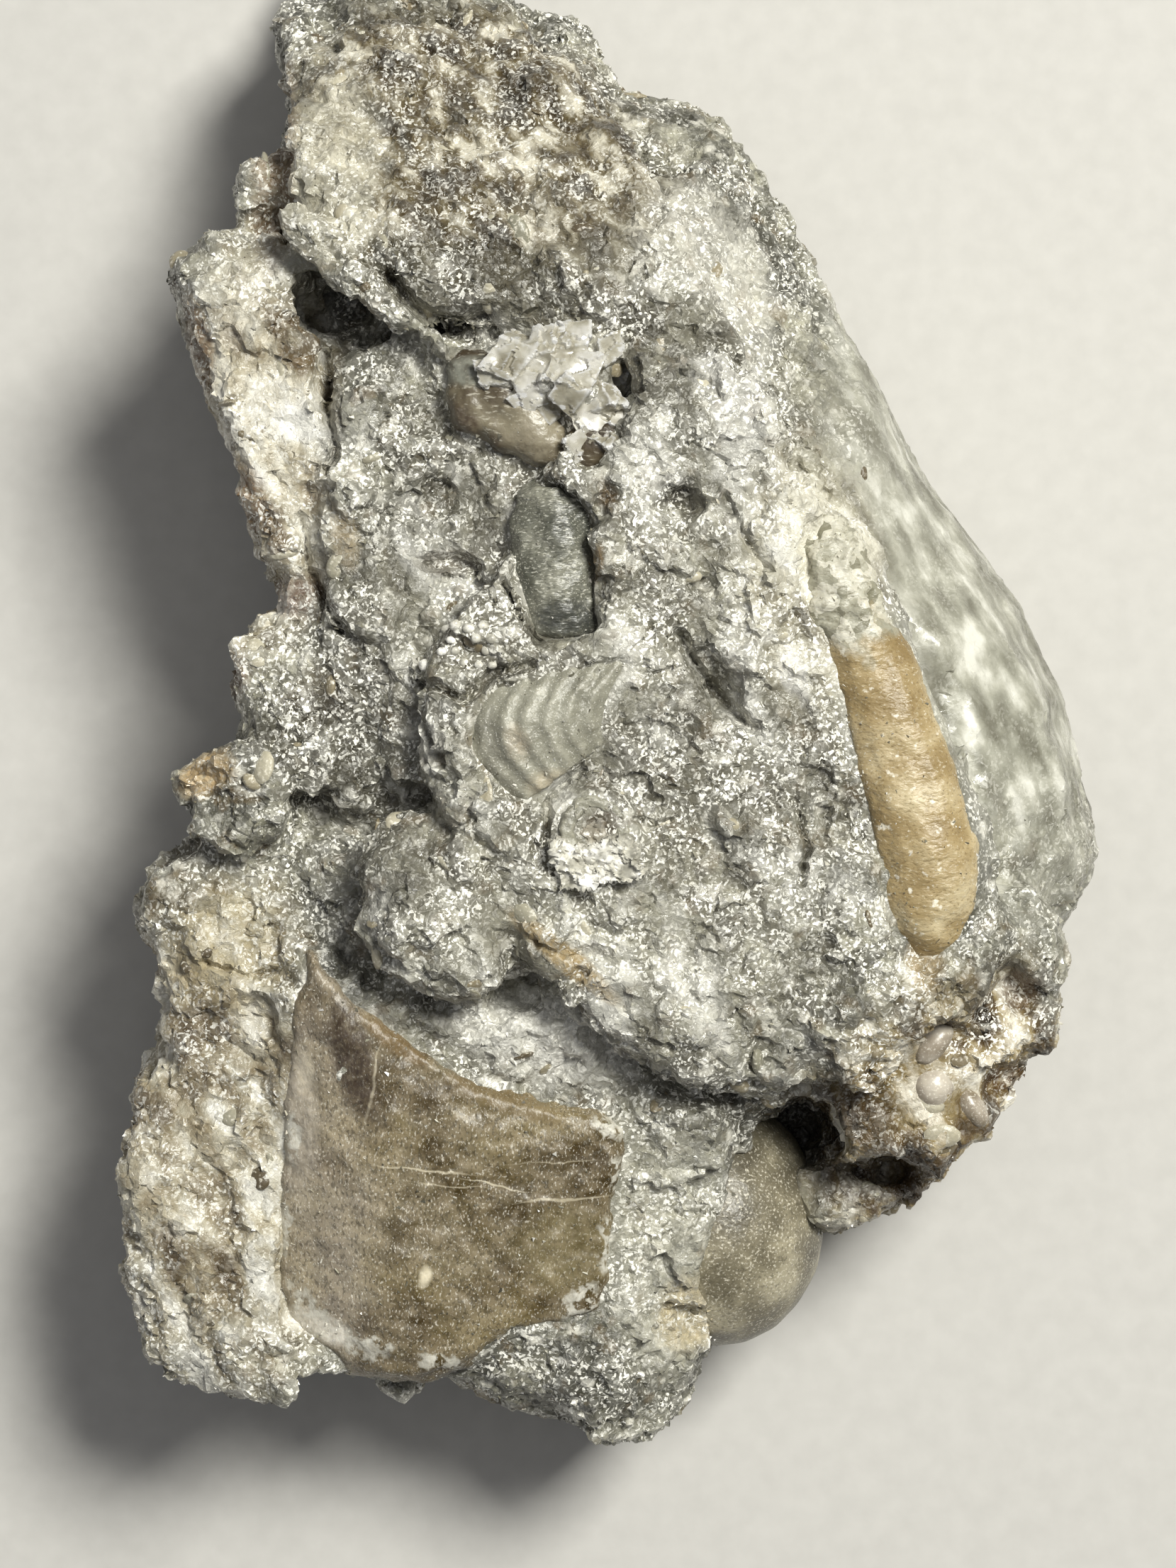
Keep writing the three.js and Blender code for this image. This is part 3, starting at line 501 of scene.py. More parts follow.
def weathered(tree, place, body):
    """A stone colour with tones for its big crystal faces, brown and white lumps, weather and stains, and
    some painted shade and light.
    """
    wander = uneven_place(tree, uneven_place(tree, place, 1.6, 1.6), 0.3, 0.5)
    for width, darkest, lightest in FACE_TONES:
        face = put(tree, "ShaderNodeTexVoronoi", {"Vector": wander, "Scale": 1 / (width * MM)})["Color"]
        tone = put(tree, "ShaderNodeMapRange", {"Value": face, "From Min": 0.25, "From Max": 0.75,
                                                "To Min": darkest, "To Max": lightest})[0]
        body = put(tree, "ShaderNodeVectorMath", {0: body, "Scale": tone}, operation="SCALE")[0]
    body = flecked(tree, place, 2.4, (0.54, 0.65), body, "#3f3d31", 0.6)
    body = flecked(tree, place, 0.8, (0.58, 0.68), body, "#64512f", 0.55)
    body = flecked(tree, place, 0.7, (0.6, 0.68), body, "#f3f0e4", 0.55)
    # The clouds run down the slope to the right.
    along = put(tree, "ShaderNodeMapping", {"Vector": place, "Rotation": [0, 0, math.radians(-62)],
                                            "Scale": [1.9, 1, 1]}, vector_type="TEXTURE")[0]
    for middle, reach, size, strength, colours in WEATHER:
        cover = region(tree, wander, middle, reach, strength, 0)
        clouds = clouded(tree, along, size, list(zip((0.36, 0.46, 0.54, 0.64), colours)), 5)
        body = put(tree, "ShaderNodeMix", {0: cover, 6: body, 7: clouds}, data_type="RGBA")[2]
    return patched(tree, place, body, STAINS)


spar, tree, shader, coords = material("sparry limestone")
uneven = uneven_place(tree, coords, 0.3, 0.5)
grains = put(tree, "ShaderNodeTexVoronoi", {"Vector": uneven, "Scale": 1 / GRAIN})["Color"]
crystals = put(tree, "ShaderNodeTexVoronoi", {"Vector": uneven, "Scale": 1 / SPAR})["Color"]
rims = put(tree, "ShaderNodeTexVoronoi", {"Vector": uneven, "Scale": 1 / (0.6 * MM)},
           feature="DISTANCE_TO_EDGE")["Distance"]
ridge = put(tree, "ShaderNodeNewGeometry")["Pointiness"]

grey = put(tree, "ShaderNodeValToRGB", {"Fac": grains}, [(0, "#4c4b43"), (0.4, "#646258"), (0.75, "#817f71"),
                                                        (1, "#b3b1a2")])["Color"]
spars = put(tree, "ShaderNodeValToRGB", {"Fac": crystals}, [(0.1, "#525148"), (0.5, "#777568"),
                                                           (0.9, "#aba999")])["Color"]
body = put(tree, "ShaderNodeMix", {0: 0.45, 6: grey, 7: spars}, data_type="RGBA")[2]
body = weathered(tree, coords, body)
bruised = clouded(tree, coords, 1.5, [(0.4, 0.15), (0.58, 1)])
crumbs = put(tree, "ShaderNodeTexVoronoi", {"Vector": uneven, "Scale": 1 / (0.12 * MM)})["Color"]
frosted = put(tree, "ShaderNodeValToRGB", {"Fac": crumbs}, [(0.65, 0), (0.75, 1)])["Color"]
smooth = region(tree, coords, *FLANK, 0.15, 1)
edges = put(tree, "ShaderNodeValToRGB", {"Fac": rims}, [(0, 0.25), (0.06, 0)])["Color"]
crests = put(tree, "ShaderNodeValToRGB", {"Fac": ridge}, [(0.5, 0), (0.6, 0.35)])["Color"]
# Painted shade: where pointiness is low, in each crevice, the colour darkens towards #373126.
painted_crevice_shade = put(tree, "ShaderNodeValToRGB", {"Fac": ridge}, [(0.36, 0.55), (0.45, 0)])["Color"]
calm = [region(tree, coords, middle, reach, least, 1) for middle, reach, least in CALM]
white = chained(tree, "MULTIPLY", [chained(tree, "ADD", [edges, crests, frosted]), *calm, bruised, smooth])
body = put(tree, "ShaderNodeMix", {0: white, 6: body, 7: linear("#faf8ef")}, data_type="RGBA")[2]
body = put(tree, "ShaderNodeMix", {0: painted_crevice_shade, 6: body, 7: linear("#373126")}, data_type="RGBA")[2]
tree.links.new(body, shader.inputs["Base Color"])
gloss = put(tree, "ShaderNodeValToRGB", {"Fac": grains}, [(0.2, 0.5), (0.9, 0.14)])["Color"]
tree.links.new(gloss, shader.inputs["Roughness"])
# Big crystal faces, small ones and a fine frosting, as a bump.
blocks = chained(tree, "MULTIPLY", [facets(tree, uneven, SPAR, 0.35, 0.2), SPAR / GRAIN])
frost = put(tree, "ShaderNodeTexNoise", {"Vector": uneven, "Scale": 1 / (0.16 * MM), "Detail": 3})["Fac"]
frost = chained(tree, "MULTIPLY", [frost, 0.55])
height = chained(tree, "ADD", [blocks, facets(tree, uneven, GRAIN, 0.3, 0.25), frost])
depth = chained(tree, "MULTIPLY", [smooth, 0.55 * GRAIN])
bump = put(tree, "ShaderNodeBump", {"Height": height, "Distance": depth, "Strength": 0.8})["Normal"]
tree.links.new(bump, shader.inputs["Normal"])
shader.inputs["IOR"].default_value = 1.58
stone.data.materials.append(spar)

# ------------------------------ tail shield
# The pygidium: a flat plate of dark brown calcite shell, gently arched, creased where its axis bends
# down to the left, and bedded in the rock up to its broken edge.


def shell_from(node, name, voxel, smooth, bedded=0.3 * MM):
    """A CAD shell grown until its edges run in under the rock, with an even skin to work on."""
    piece = copy_of(node, name)
    swell(piece, 0.27 * MM + bedded)
    piece.data.transform(Matrix.Translation((0, 0, -bedded)))
    remesh(piece, voxel)
    modify(piece, "SMOOTH", factor=0.5, iterations=smooth)
    return piece


def worn(piece, name, size, depth):
    """Roughens a surface with features of that size and depth in millimetres."""
    pattern = bpy.data.textures.new(name, "CLOUDS")
    pattern.noise_scale = size * MM
    modify(piece, "DISPLACE", texture=pattern, strength=depth * MM, mid_level=0.5)


def finish_shell(piece, node, made):
    """Smooth shading, finish and body, and hides the CAD node that the piece stands for."""
    pick(piece)
    bpy.ops.object.shade_smooth()
    piece.data.materials.append(made)
    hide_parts(node)
    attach(piece, "root")


def shell_grain(tree, shader, body, place, size, depth, roughness, detail=3):
    """What all the calcite shells share: a fine frosting, a soft gloss, and light that sinks in a little."""
    tree.links.new(body, shader.inputs["Base Color"])
    height = put(tree, "ShaderNodeTexNoise", {"Vector": place, "Scale": 1 / (size * MM),
                                              "Detail": detail})["Fac"]
    fine = put(tree, "ShaderNodeBump", {"Height": height, "Distance": depth * MM, "Strength": 0.8})["Normal"]
    tree.links.new(fine, shader.inputs["Normal"])
    shader.inputs["Roughness"].default_value = roughness
    shader.inputs["IOR"].default_value = 1.56
    shader.inputs["Subsurface Weight"].default_value = 0.25
    shader.inputs["Subsurface Radius"].default_value = (1, 0.9, 0.7)
    shader.inputs["Subsurface Scale"].default_value = 0.3 * MM


tail = shell_from("tail_shield", "tail_plate", 0.2 * MM, 5)
worn(tail, "tail swells", 2.5, 0.3)
worn(tail, "tail edge", 0.8, 0.35)
worn(tail, "tail grain", 0.3, 0.06)

# Dense shell that lets a little light in: a soft gloss over cloudy browns, with pale healed cracks.
brown, tree, shader, coords = material("brown calcite shell")
soft = uneven_place(tree, coords, 1.2, 0.7)
# The left facet is purple grey and the right one olive brown.
across = put(tree, "ShaderNodeSeparateXYZ", {0: soft})["X"]
across = put(tree, "ShaderNodeMapRange", {"Value": across, "From Min": PLAN.x - 9.9 * MM,
                                          "From Max": PLAN.x - 8.6 * MM})[0]
body = put(tree, "ShaderNodeMix", {0: across, 6: linear("#918778"), 7: linear("#423413")},
           data_type="RGBA")[2]
body = flecked(tree, soft, 1.3, (0.62, 0.38), body, "#c2b698", 0.3)
body = flecked(tree, soft, 2.0, (0.48, 0.62), body, "#483a20", 0.7)
body = flecked(tree, soft, 2.8, (0.52, 0.66), body, "#8f8057", 0.45)
body = flecked(tree, soft, 0.4, (0.4, 0.6), body, "#a89a80", 0.32)
streaks = put(tree, "ShaderNodeMapping", {"Vector": coords, "Scale": [1, 0.55, 1]})[0]
body = flecked(tree, streaks, 0.05, (0.57, 0.67), body, "#f4efe2", 0.5, 3)
body = flecked(tree, streaks, 0.08, (0.46, 0.38), body, "#37301f", 0.5, 3)
# Healed cracks and scars: the middle, the reach each way, the turn and the strength.
VEINS = [
    ((-7.2, -16.9, 17), (2.6, 0.07, 9), -5, 0.6),
    ((-4.0, -17.6, 17), (1.8, 0.06, 9), -14, 0.6),
    ((-1.0, -18.2, 17), (2.6, 0.07, 9), 4, 0.5),
    ((-6.0, -17.6, 17), (2.0, 0.05, 9), -4, 0.4),
    ((-1.5, -16.6, 17), (2.4, 0.05, 9), 2, 0.3),
    ((-9.3, -13.3, 17), (0.09, 2.2, 9), -10, 0.7),
    ((-7.1, -21.6, 17), (0.34, 0.62, 9), -20, 1.0),
    ((-12.3, -12.6, 15), (0.5, 1.1, 9), 0, 0.6),
]
# Crusts along the margin: where they lie in the plan, the reach each way and the turn.
RIM_CRUSTS = [(-12.3, -23.1, 1.5, 0.7, -30), (-9.7, -24.8, 1.7, 0.6, -15), (-6.6, -25.4, 1.3, 0.6, 0),
              (-3.0, -24.6, 1.7, 0.7, 20), (-0.4, -23.0, 1.4, 0.7, 40), (1.0, -20.4, 0.6, 1.7, 0),
              (1.3, -17.3, 0.6, 1.4, 0), (1.0, -14.9, 1.0, 0.6, -40), (-13.3, -19.4, 0.6, 1.9, 0),
              (-13.0, -15.6, 0.5, 1.6, 0)]
thready = uneven_place(tree, coords, 0.7, 0.5)
for middle, reach, turn, strength in VEINS:
    line = put(tree, "ShaderNodeValToRGB", {"Fac": inside(tree, thready, middle, reach, turn)},
               [(0, 0), (0.6, strength)])["Color"]
    body = put(tree, "ShaderNodeMix", {0: line, 6: body, 7: linear("#ddd3ba")}, data_type="RGBA")[2]
body = patched(tree, coords, body, [((-11.9, -24, 14), (2.2, 0.9, 9), -20, "#efebe0", 0.7),
                                    ((-10.2, -11.8, 16), (1.2, 3.9, 9), 14, "#3d3026", 0.85),
                                    ((-12.6, -14.5, 15), (1.3, 4.6, 9), 0, "#bfb6a8", 0.6),
                                    ((-8.3, -11.3, 16), (2.6, 0.6, 9), -38, "#7f6a48", 0.7),
                                    ((-3.6, -13.8, 16), (3.6, 0.7, 9), -22, "#786645", 0.6),
                                    ((-1, -20.5, 16), (3, 2.6, 9), 0, "#8f8460", 0.45)])
# Crusts of rock that still cling to its margin, with ragged edges, grey under white.
ragged = uneven_place(tree, uneven_place(tree, coords, 1.0, 1.6), 0.35, 0.8)
for colour, share in (("#85806f", 0.85), ("#dedbd0", 0.8)):
    crusts = [((x, y, 16), (long, wide, 9), turn, colour, share) for x, y, long, wide, turn in RIM_CRUSTS]
    crusted = patched(tree, ragged, body, crusts)
    body = flecked(tree, coords, 0.3, (0.44, 0.52), body, crusted)
shell_grain(tree, shader, body, streaks, 0.2, 0.07, 0.42)
finish_shell(tail, "tail_shield", brown)

# ------------------------------ cheek
# The rounded free cheek that bulges out under the lower right edge. It is dense tan calcite shell, worn
# as smooth as a pebble, with a soft sheen, and the rock still grips its upper side.

cheek = shell_from("cheek_dome", "cheek", 0.24 * MM, 10)
worn(cheek, "cheek swells", 3.0, 0.2)

tan_shell, tree, shader, coords = material("tan shell")
body = clouded(tree, coords, 1.8, [(0.36, "#565041"), (0.5, "#7c7561"), (0.64, "#b0a890")])
body = flecked(tree, coords, 0.07, (0.55, 0.67), body, "#efe9d8", 0.6, 3)
body = flecked(tree, coords, 0.09, (0.45, 0.35), body, "#514c3d", 0.5, 3)
shell_grain(tree, shader, body, coords, 0.25, 0.05, 0.4)
finish_shell(cheek, "cheek_dome", tan_shell)

# ------------------------------ genal spine
# The long cheek spine along the right-hand ridge: honey-coloured shell, finely pitted, its upper end
# gone over to white sugary calcite.

spine = shell_from("genal_spine", "spine", 0.17 * MM, 5, 0.02 * MM)
worn(spine, "spine swells", 2.2, 0.5)
worn(spine, "spine pits", 0.3, 0.08)
# The sugary end is as broken as the rock.
SUGAR_TOP = PLAN.y + 6.5 * MM
sugary = [v.index for v in spine.data.vertices if v.co.y > SUGAR_TOP]
spine.vertex_groups.new(name="rough").add(sugary, 1, "REPLACE")
break_up(spine, FINE_BREAKS, 0.6, 0.35)

honey, tree, shader, coords = material("honey shell")
across_spine = put(tree, "ShaderNodeMapping", {"Vector": coords, "Rotation": [0, 0, math.radians(-20)],
                                               "Scale": [0.5, 1, 1]})[0]
body = clouded(tree, coords, 1.6, [(0.34, "#8a754d"), (0.5, "#a7936b"), (0.66, "#c9ba97")])
body = flecked(tree, across_spine, 0.06, (0.42, 0.34), body, "#75613c", 0.55, 3)
body = flecked(tree, across_spine, 0.06, (0.6, 0.7), body, "#f4edd9", 0.4, 3)
body = flecked(tree, coords, 0.35, (0.64, 0.7), body, "#f6f1e2", 0.8, 3)
spots = put(tree, "ShaderNodeTexVoronoi", {"Vector": uneven_place(tree, coords, 0.3, 0.4),
                                           "Scale": 1 / (0.6 * MM)})["Color"]
sugary = put(tree, "ShaderNodeValToRGB", {"Fac": spots}, [(0.2, "#7f7d6b"), (0.45, "#a9a797"),
                                                         (0.7, "#d0cdbf")])["Color"]
sugary = flecked(tree, coords, 0.15, (0.45, 0.35), sugary, "#7d7967", 0.6)
clouds = put(tree, "ShaderNodeTexNoise", {"Vector": coords, "Scale": 0.6 / (1 * MM), "Detail": 5})["Fac"]
sugar = chained(tree, "ADD", [inside(tree, coords, (10.4, 9.6, 21), (5, 6, 9)), clouds])
sugar = put(tree, "ShaderNodeMapRange", {"Value": sugar, "From Min": 0.72, "From Max": 0.9,
                                         "To Max": 0.95})[0]
body = put(tree, "ShaderNodeMix", {0: sugar, 6: body, 7: sugary}, data_type="RGBA")[2]
shell_grain(tree, shader, body, across_spine, 0.2, 0.1, 0.42)
finish_shell(spine, "genal_spine", honey)

# ------------------------------ ribbed plate
# A side lobe with its ribs fanning from one corner, bedded in the rock. It is thin grey-olive calcite
# shell, chalky along the tops of the ribs, with painted shade darkening the grooves between them.

ribbed = shell_from("ribbed_plate", "ribs", 0.13 * MM, 5, 0.25 * MM)
worn(ribbed, "rib edge", 0.9, 0.2)
worn(ribbed, "rib grain", 0.3, 0.06)

olive, tree, shader, coords = material("grey olive shell")
ridge = put(tree, "ShaderNodeNewGeometry")["Pointiness"]
body = clouded(tree, coords, 1.2, [(0.3, "#767468"), (0.5, "#8f8d7f"), (0.7, "#a8a698")])
chalk = put(tree, "ShaderNodeValToRGB", {"Fac": ridge}, [(0.5, 0), (0.56, 0.3)])["Color"]
body = put(tree, "ShaderNodeMix", {0: chalk, 6: body, 7: linear("#c4c1b2")}, data_type="RGBA")[2]
# Painted shade: where pointiness is low, in the grooves, the colour darkens towards #5a5748.
painted_groove_shade = put(tree, "ShaderNodeValToRGB", {"Fac": ridge}, [(0.42, 0.4), (0.49, 0)])["Color"]
body = put(tree, "ShaderNodeMix", {0: painted_groove_shade, 6: body, 7: linear("#5a5748")}, data_type="RGBA")[2]
body = flecked(tree, coords, 0.05, (0.6, 0.68), body, "#f8f5eb", 0.5, 3)
body = patched(tree, coords, body, [((-3, 1.7, 21), (0.9, 1.4, 3), 10, "#bfb29c", 0.6),
                                    ((-1.4, -0.2, 21), (1.6, 1, 3), 0, "#bdae92", 0.5)])
shell_grain(tree, shader, body, coords, 0.2, 0.07, 0.42)
finish_shell(ribbed, "ribbed_plate", olive)

# ------------------------------ thorax segment
# One band of the body, lying in its own socket in the rock. It is the darkest calcite shell, dull, with
# a fine grain along it and a narrow shadow between it and the stone.

thorax = shell_from("thorax_segment", "thorax", 0.13 * MM, 4, 0.1 * MM)
worn(thorax, "thorax swells", 1.3, 0.5)
worn(thorax, "thorax grain", 0.3, 0.12)

dark, tree, shader, coords = material("dark grey shell")
threads = put(tree, "ShaderNodeMapping", {"Vector": coords, "Scale": [0.35, 1, 1]})[0]
body = clouded(tree, coords, 1.3, [(0.34, "#4f5048"), (0.5, "#6a6a5f"), (0.66, "#8f8e81")])
body = flecked(tree, threads, 0.07, (0.45, 0.38), body, "#3f3f38", 0.5, 3)
body = flecked(tree, threads, 0.05, (0.56, 0.65), body, "#e6e4d7", 0.5, 3)
body = patched(tree, coords, body, [((-0.9, 6.9, 21), (1.7, 1.1, 3), 0, "#3c3d39", 0.9)])
shell_grain(tree, shader, body, threads, 0.15, 0.08, 0.36)
finish_shell(thorax, "thorax_segment", dark)

# ------------------------------ head fragment and brown grain
# A bent scrap of the head shield, smooth and olive brown, running in under the clear crystals, and one
# rounded brown grain of shell beside them.

head = shell_from("head_fragment", "head_scrap", 0.15 * MM, 3, 0.05 * MM)
worn(head, "head swells", 1.8, 0.7)
worn(head, "head edge", 0.7, 0.2)

drab, tree, shader, coords = material("olive brown shell")
soft = uneven_place(tree, coords, 1.2, 0.7)
body = clouded(tree, soft, 1.3, [(0.36, "#362c20"), (0.5, "#544a3a"), (0.64, "#827a66")])
scratches = put(tree, "ShaderNodeMapping", {"Vector": coords, "Rotation": [0, 0, 0.6],
                                            "Scale": [0.3, 1, 1]})[0]
body = flecked(tree, scratches, 0.08, (0.56, 0.68), body, "#d9d4c4", 0.5, 3)
body = patched(tree, coords, body, [((-5.3, 15, 20), (1, 1.9, 5), 25, "#46382b", 0.85),
                                    ((-2.4, 14.6, 20), (1.7, 1.6, 5), 0, "#958d79", 0.7),
                                    ((-5, 17.4, 20), (1.8, 0.9, 5), 0, "#8b8c81", 0.85)])
shell_grain(tree, shader, body, coords, 0.3, 0.06, 0.35)
finish_shell(head, "head_fragment", drab)

grain = shell_from("brown_grain", "grain", 0.14 * MM, 5)
worn(grain, "grain swells", 0.9, 0.25)
finish_shell(grain, "brown_grain", drab)

# ------------------------------ clear calcite
# A cluster of cleavage blocks of clear calcite, milky along its cracks, with splinters of the same
# spar broken round it.

# Blocks round the cluster: where they lie in the plan, and their size.
CLEAVAGE_BLOCKS = [
    (-3.2, 18, 1.7), (-2.2, 17.2, 1.6), (-3.9, 17.3, 1.2), (-0.8, 16.3, 1.4), (0.6, 16.2, 1.2),
    (1.2, 17.2, 1.3), (0.9, 18.2, 1.2), (-0.6, 18.6, 1.3), (-1.9, 18.4, 1.3), (0.2, 15.2, 1.1),
    (1.2, 15.4, 1.0), (-1.6, 15.9, 1.3), (1.0, 14.3, 0.9), (-0.4, 14.2, 1.1), (-2.6, 16.2, 1.1),
]
CRYSTAL_BREAKS = [(0.9, 0.14, 0.12)]


def seat(x, y, grounds):
    """The highest point of those surfaces above that place in the plan."""
    above = PLAN + Vector((x, y, 40)) * MM
    spots = [ground.ray_cast(above, (0, 0, -1))[1] for ground in grounds]
    return max(spots, key=lambda spot: spot.z)


crystals = copy_of("calcite_crystals", "crystals")
draw = random.Random(11)
blocks = [crystals]
for x, y, size in CLEAVAGE_BLOCKS:
    turn = [draw.uniform(-0.5, 0.5), draw.uniform(-0.5, 0.5), draw.uniform(0, 3)]
    bpy.ops.mesh.primitive_cube_add(size=size * MM, location=seat(x, y, [stone, head]), rotation=turn)
    block = bpy.context.object
    # Calcite cleaves into leaning boxes, whose faces meet at 75 and 105 degrees.
    lean = Matrix(((1, 0.27, 0.2, 0), (0, 1, 0.27, 0), (0, 0, 0.7, 0), (0, 0, 0, 1)))
    block.data.transform(lean)
    bpy.ops.object.transform_apply()
    blocks.append(block)
crystals = joined(blocks, "crystals")
remesh(crystals, 0.09 * MM)
modify(crystals, "SMOOTH", factor=0.5, iterations=1)
crystals.vertex_groups.new(name="rough").add(range(len(crystals.data.vertices)), 1, "REPLACE")
break_up(crystals, CRYSTAL_BREAKS, 0.9, 0.12)

# Spar that light passes through, milky where it is cracked inside and white where it is bruised.
clear, tree, shader, coords = material("clear calcite")
milk = clouded(tree, coords, 0.7, [(0.38, "#aea793"), (0.5, "#cec9b8"), (0.62, "#eeebe2")])
ridge = put(tree, "ShaderNodeNewGeometry")["Pointiness"]
bruise = put(tree, "ShaderNodeValToRGB", {"Fac": ridge}, [(0.51, 0), (0.56, 0.9)])["Color"]
milk = put(tree, "ShaderNodeMix", {0: bruise, 6: milk, 7: linear("#ffffff")}, data_type="RGBA")[2]
tree.links.new(milk, shader.inputs["Base Color"])
tree.links.new(clouded(tree, coords, 0.5, [(0.4, 0.1), (0.62, 0.5)]), shader.inputs["Roughness"])
shader.inputs["Transmission Weight"].default_value = 0.4
shader.inputs["IOR"].default_value = 1.62
chips = facets(tree, coords, 0.5 * MM, 0.3, 0.3)
chips = put(tree, "ShaderNodeBump", {"Height": chips, "Distance": 0.12 * MM, "Strength": 0.8})["Normal"]
tree.links.new(chips, shader.inputs["Normal"])
pick(crystals)
bpy.ops.object.shade_smooth_by_angle(angle=math.radians(20))
crystals.data.materials.append(clear)
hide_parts("calcite_crystals")
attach(crystals, "root")

# ------------------------------ ring shell and calcite block
# A crinoid ring of grey calcite, worn and chalky, half buried under a crumbly block of white calcite,
# which also fills the hole of the ring and breaks into small bright chips.

ring = shell_from("ring_shell", "ring", 0.08 * MM, 2, -0.14 * MM)
ring.data.transform(Matrix.Translation((0, 0, -0.3 * MM)))
worn(ring, "ring swells", 1.2, 0.4)
worn(ring, "ring grain", 0.3, 0.1)
finish_shell(ring, "ring_shell", olive)

# Where the block lies in the plan, its length, width and height, and its turn.
BLOCK_PLACE = (0.4, -3.5)
BLOCK_SIZE = (3.5, 1.9, 1.5)
BLOCK_TURN = 8
BLOCK_BREAKS = [(0.7, 0.2, 0.15), (0.3, 0.12, 0.06)]
# The same calcite fills the hole of the ring.
RING_FILL = 1.2 * MM
bpy.ops.object.select_all(action="DESELECT")
bpy.ops.mesh.primitive_cube_add(size=MM, location=seat(*BLOCK_PLACE, [stone]), scale=BLOCK_SIZE,
                                rotation=(0.1, -0.05, math.radians(BLOCK_TURN)))
block = bpy.context.object
bpy.ops.object.transform_apply()
ring_low, ring_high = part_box("ring_shell")
middle = (Vector(ring_low) + Vector(ring_high)) / 2 - Vector((0.3, 0.35, 0.45)) * MM
bpy.ops.mesh.primitive_uv_sphere_add(radius=RING_FILL, location=middle, scale=(1, 1, 0.5))
bpy.ops.object.transform_apply()
block = joined([block, bpy.context.object], "calcite_block")
remesh(block, 0.09 * MM)
modify(block, "SMOOTH", factor=0.5, iterations=8)
worn(block, "block lumps", 1.2, 0.8)
block.vertex_groups.new(name="rough").add(range(len(block.data.vertices)), 1, "REPLACE")
break_up(block, BLOCK_BREAKS, 0.4, 0.12)

chalky, tree, shader, coords = material("crumbly white calcite")
body = clouded(tree, coords, 0.6, [(0.36, "#a19e92"), (0.5, "#d3d0c4"), (0.62, "#fbf9f2")])
body = flecked(tree, coords, 0.1, (0.45, 0.35), body, "#77746a", 0.5, 3)
# The first patch is painted shadow inside the ring, on the right side of its hole.
body = patched(tree, coords, body, [((1.1, -1.7, 21.5), (0.8, 0.9, 3), 0, "#3c2d1c", 0.95),
                                    ((-0.2, -2, 21.5), (1.5, 1.0, 3), 0, "#857c6c", 0.8)])
tree.links.new(body, shader.inputs["Base Color"])
chips = facets(tree, coords, 0.3 * MM, 0.4, 0.3)
chips = put(tree, "ShaderNodeBump", {"Height": chips, "Distance": 0.15 * MM, "Strength": 0.8})["Normal"]
tree.links.new(chips, shader.inputs["Normal"])
shader.inputs["Roughness"].default_value = 0.35
shader.inputs["IOR"].default_value = 1.58
pick(block)
bpy.ops.object.shade_smooth_by_angle(angle=math.radians(35))
block.data.materials.append(chalky)
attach(block, "root")

# ------------------------------ seed shells
# Three smooth bead-like shells on the right-hand terrace, half sunk in it. They are dense pale calcite,
# so smooth that they look waxy.

waxy, tree, shader, coords = material("pale waxy shell")
body = clouded(tree, coords, 0.9, [(0.36, "#7f7462"), (0.5, "#a2988a"), (0.64, "#c4bcae")])
body = flecked(tree, coords, 0.06, (0.56, 0.66), body, "#f0ebdf", 0.5, 3)
shell_grain(tree, shader, body, coords, 0.3, 0.02, 0.3, 2)
for number in (1, 2, 3):
    seed = shell_from(f"seed_shell_{number}", f"seed_{number}", 0.12 * MM, 8, -0.15 * MM)
    seed.data.transform(Matrix.Translation((0, 0, -0.35 * MM)))
    finish_shell(seed, f"seed_shell_{number}", waxy)

# ------------------------------ granules
# A nest of round white granules on the shelf above the ribbed plate, each about 0.5 mm across. They are
# crumbly calcite that grew in place, stuck to the rock and to each other.

GRANULE_RADIUS = 0.25 * MM
GRANULE_STEP = 0.58
GRANULE_CORNER = (-7.0, 4.9)
granules = []
for row in range(4):
    for column in range(6):
        if draw.random() < 0.25:
            continue
        x = GRANULE_CORNER[0] + (column + 0.5 * (row % 2) + draw.uniform(-0.15, 0.15)) * GRANULE_STEP
        y = GRANULE_CORNER[1] + (row + draw.uniform(-0.15, 0.15)) * GRANULE_STEP * 0.9
        radius = GRANULE_RADIUS * draw.uniform(0.75, 1.1)
        shape = (1, draw.uniform(0.8, 1), 0.85)
        bpy.ops.mesh.primitive_ico_sphere_add(subdivisions=3, radius=radius, location=seat(x, y, [stone]),
                                              scale=shape)
        bpy.ops.object.transform_apply()
        granules.append(bpy.context.object)
granules = joined(granules, "granules")
worn(granules, "granule wear", 0.25, 0.06)
pick(granules)
bpy.ops.object.shade_smooth()
granules.data.materials.append(chalky)
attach(granules, "root")

# ------------------------------ loose grains of calcite and scraps
# Crushed calcite still clings to the breaks: splinters and cleavage corners a third of a millimetre
# across, half sunk in the stone and over the edges of the shells, and here and there a scrap of shell.

# Splinters to a square millimetre, their mean radius, how they vary in size, and how deep they sit.
SPLINTERS = 13.0
SPLINTER_RADIUS = 0.13 * MM
SPLINTER_SIZES = (0.3, 1.4)
SPLINTER_SINK = 0.08 * MM
SCRAPS = 0.06
SCRAP_RADIUS = 0.5 * MM
SCRAP_SIZES = (0.5, 1.7)
SCRAP_SINK = 0.2 * MM


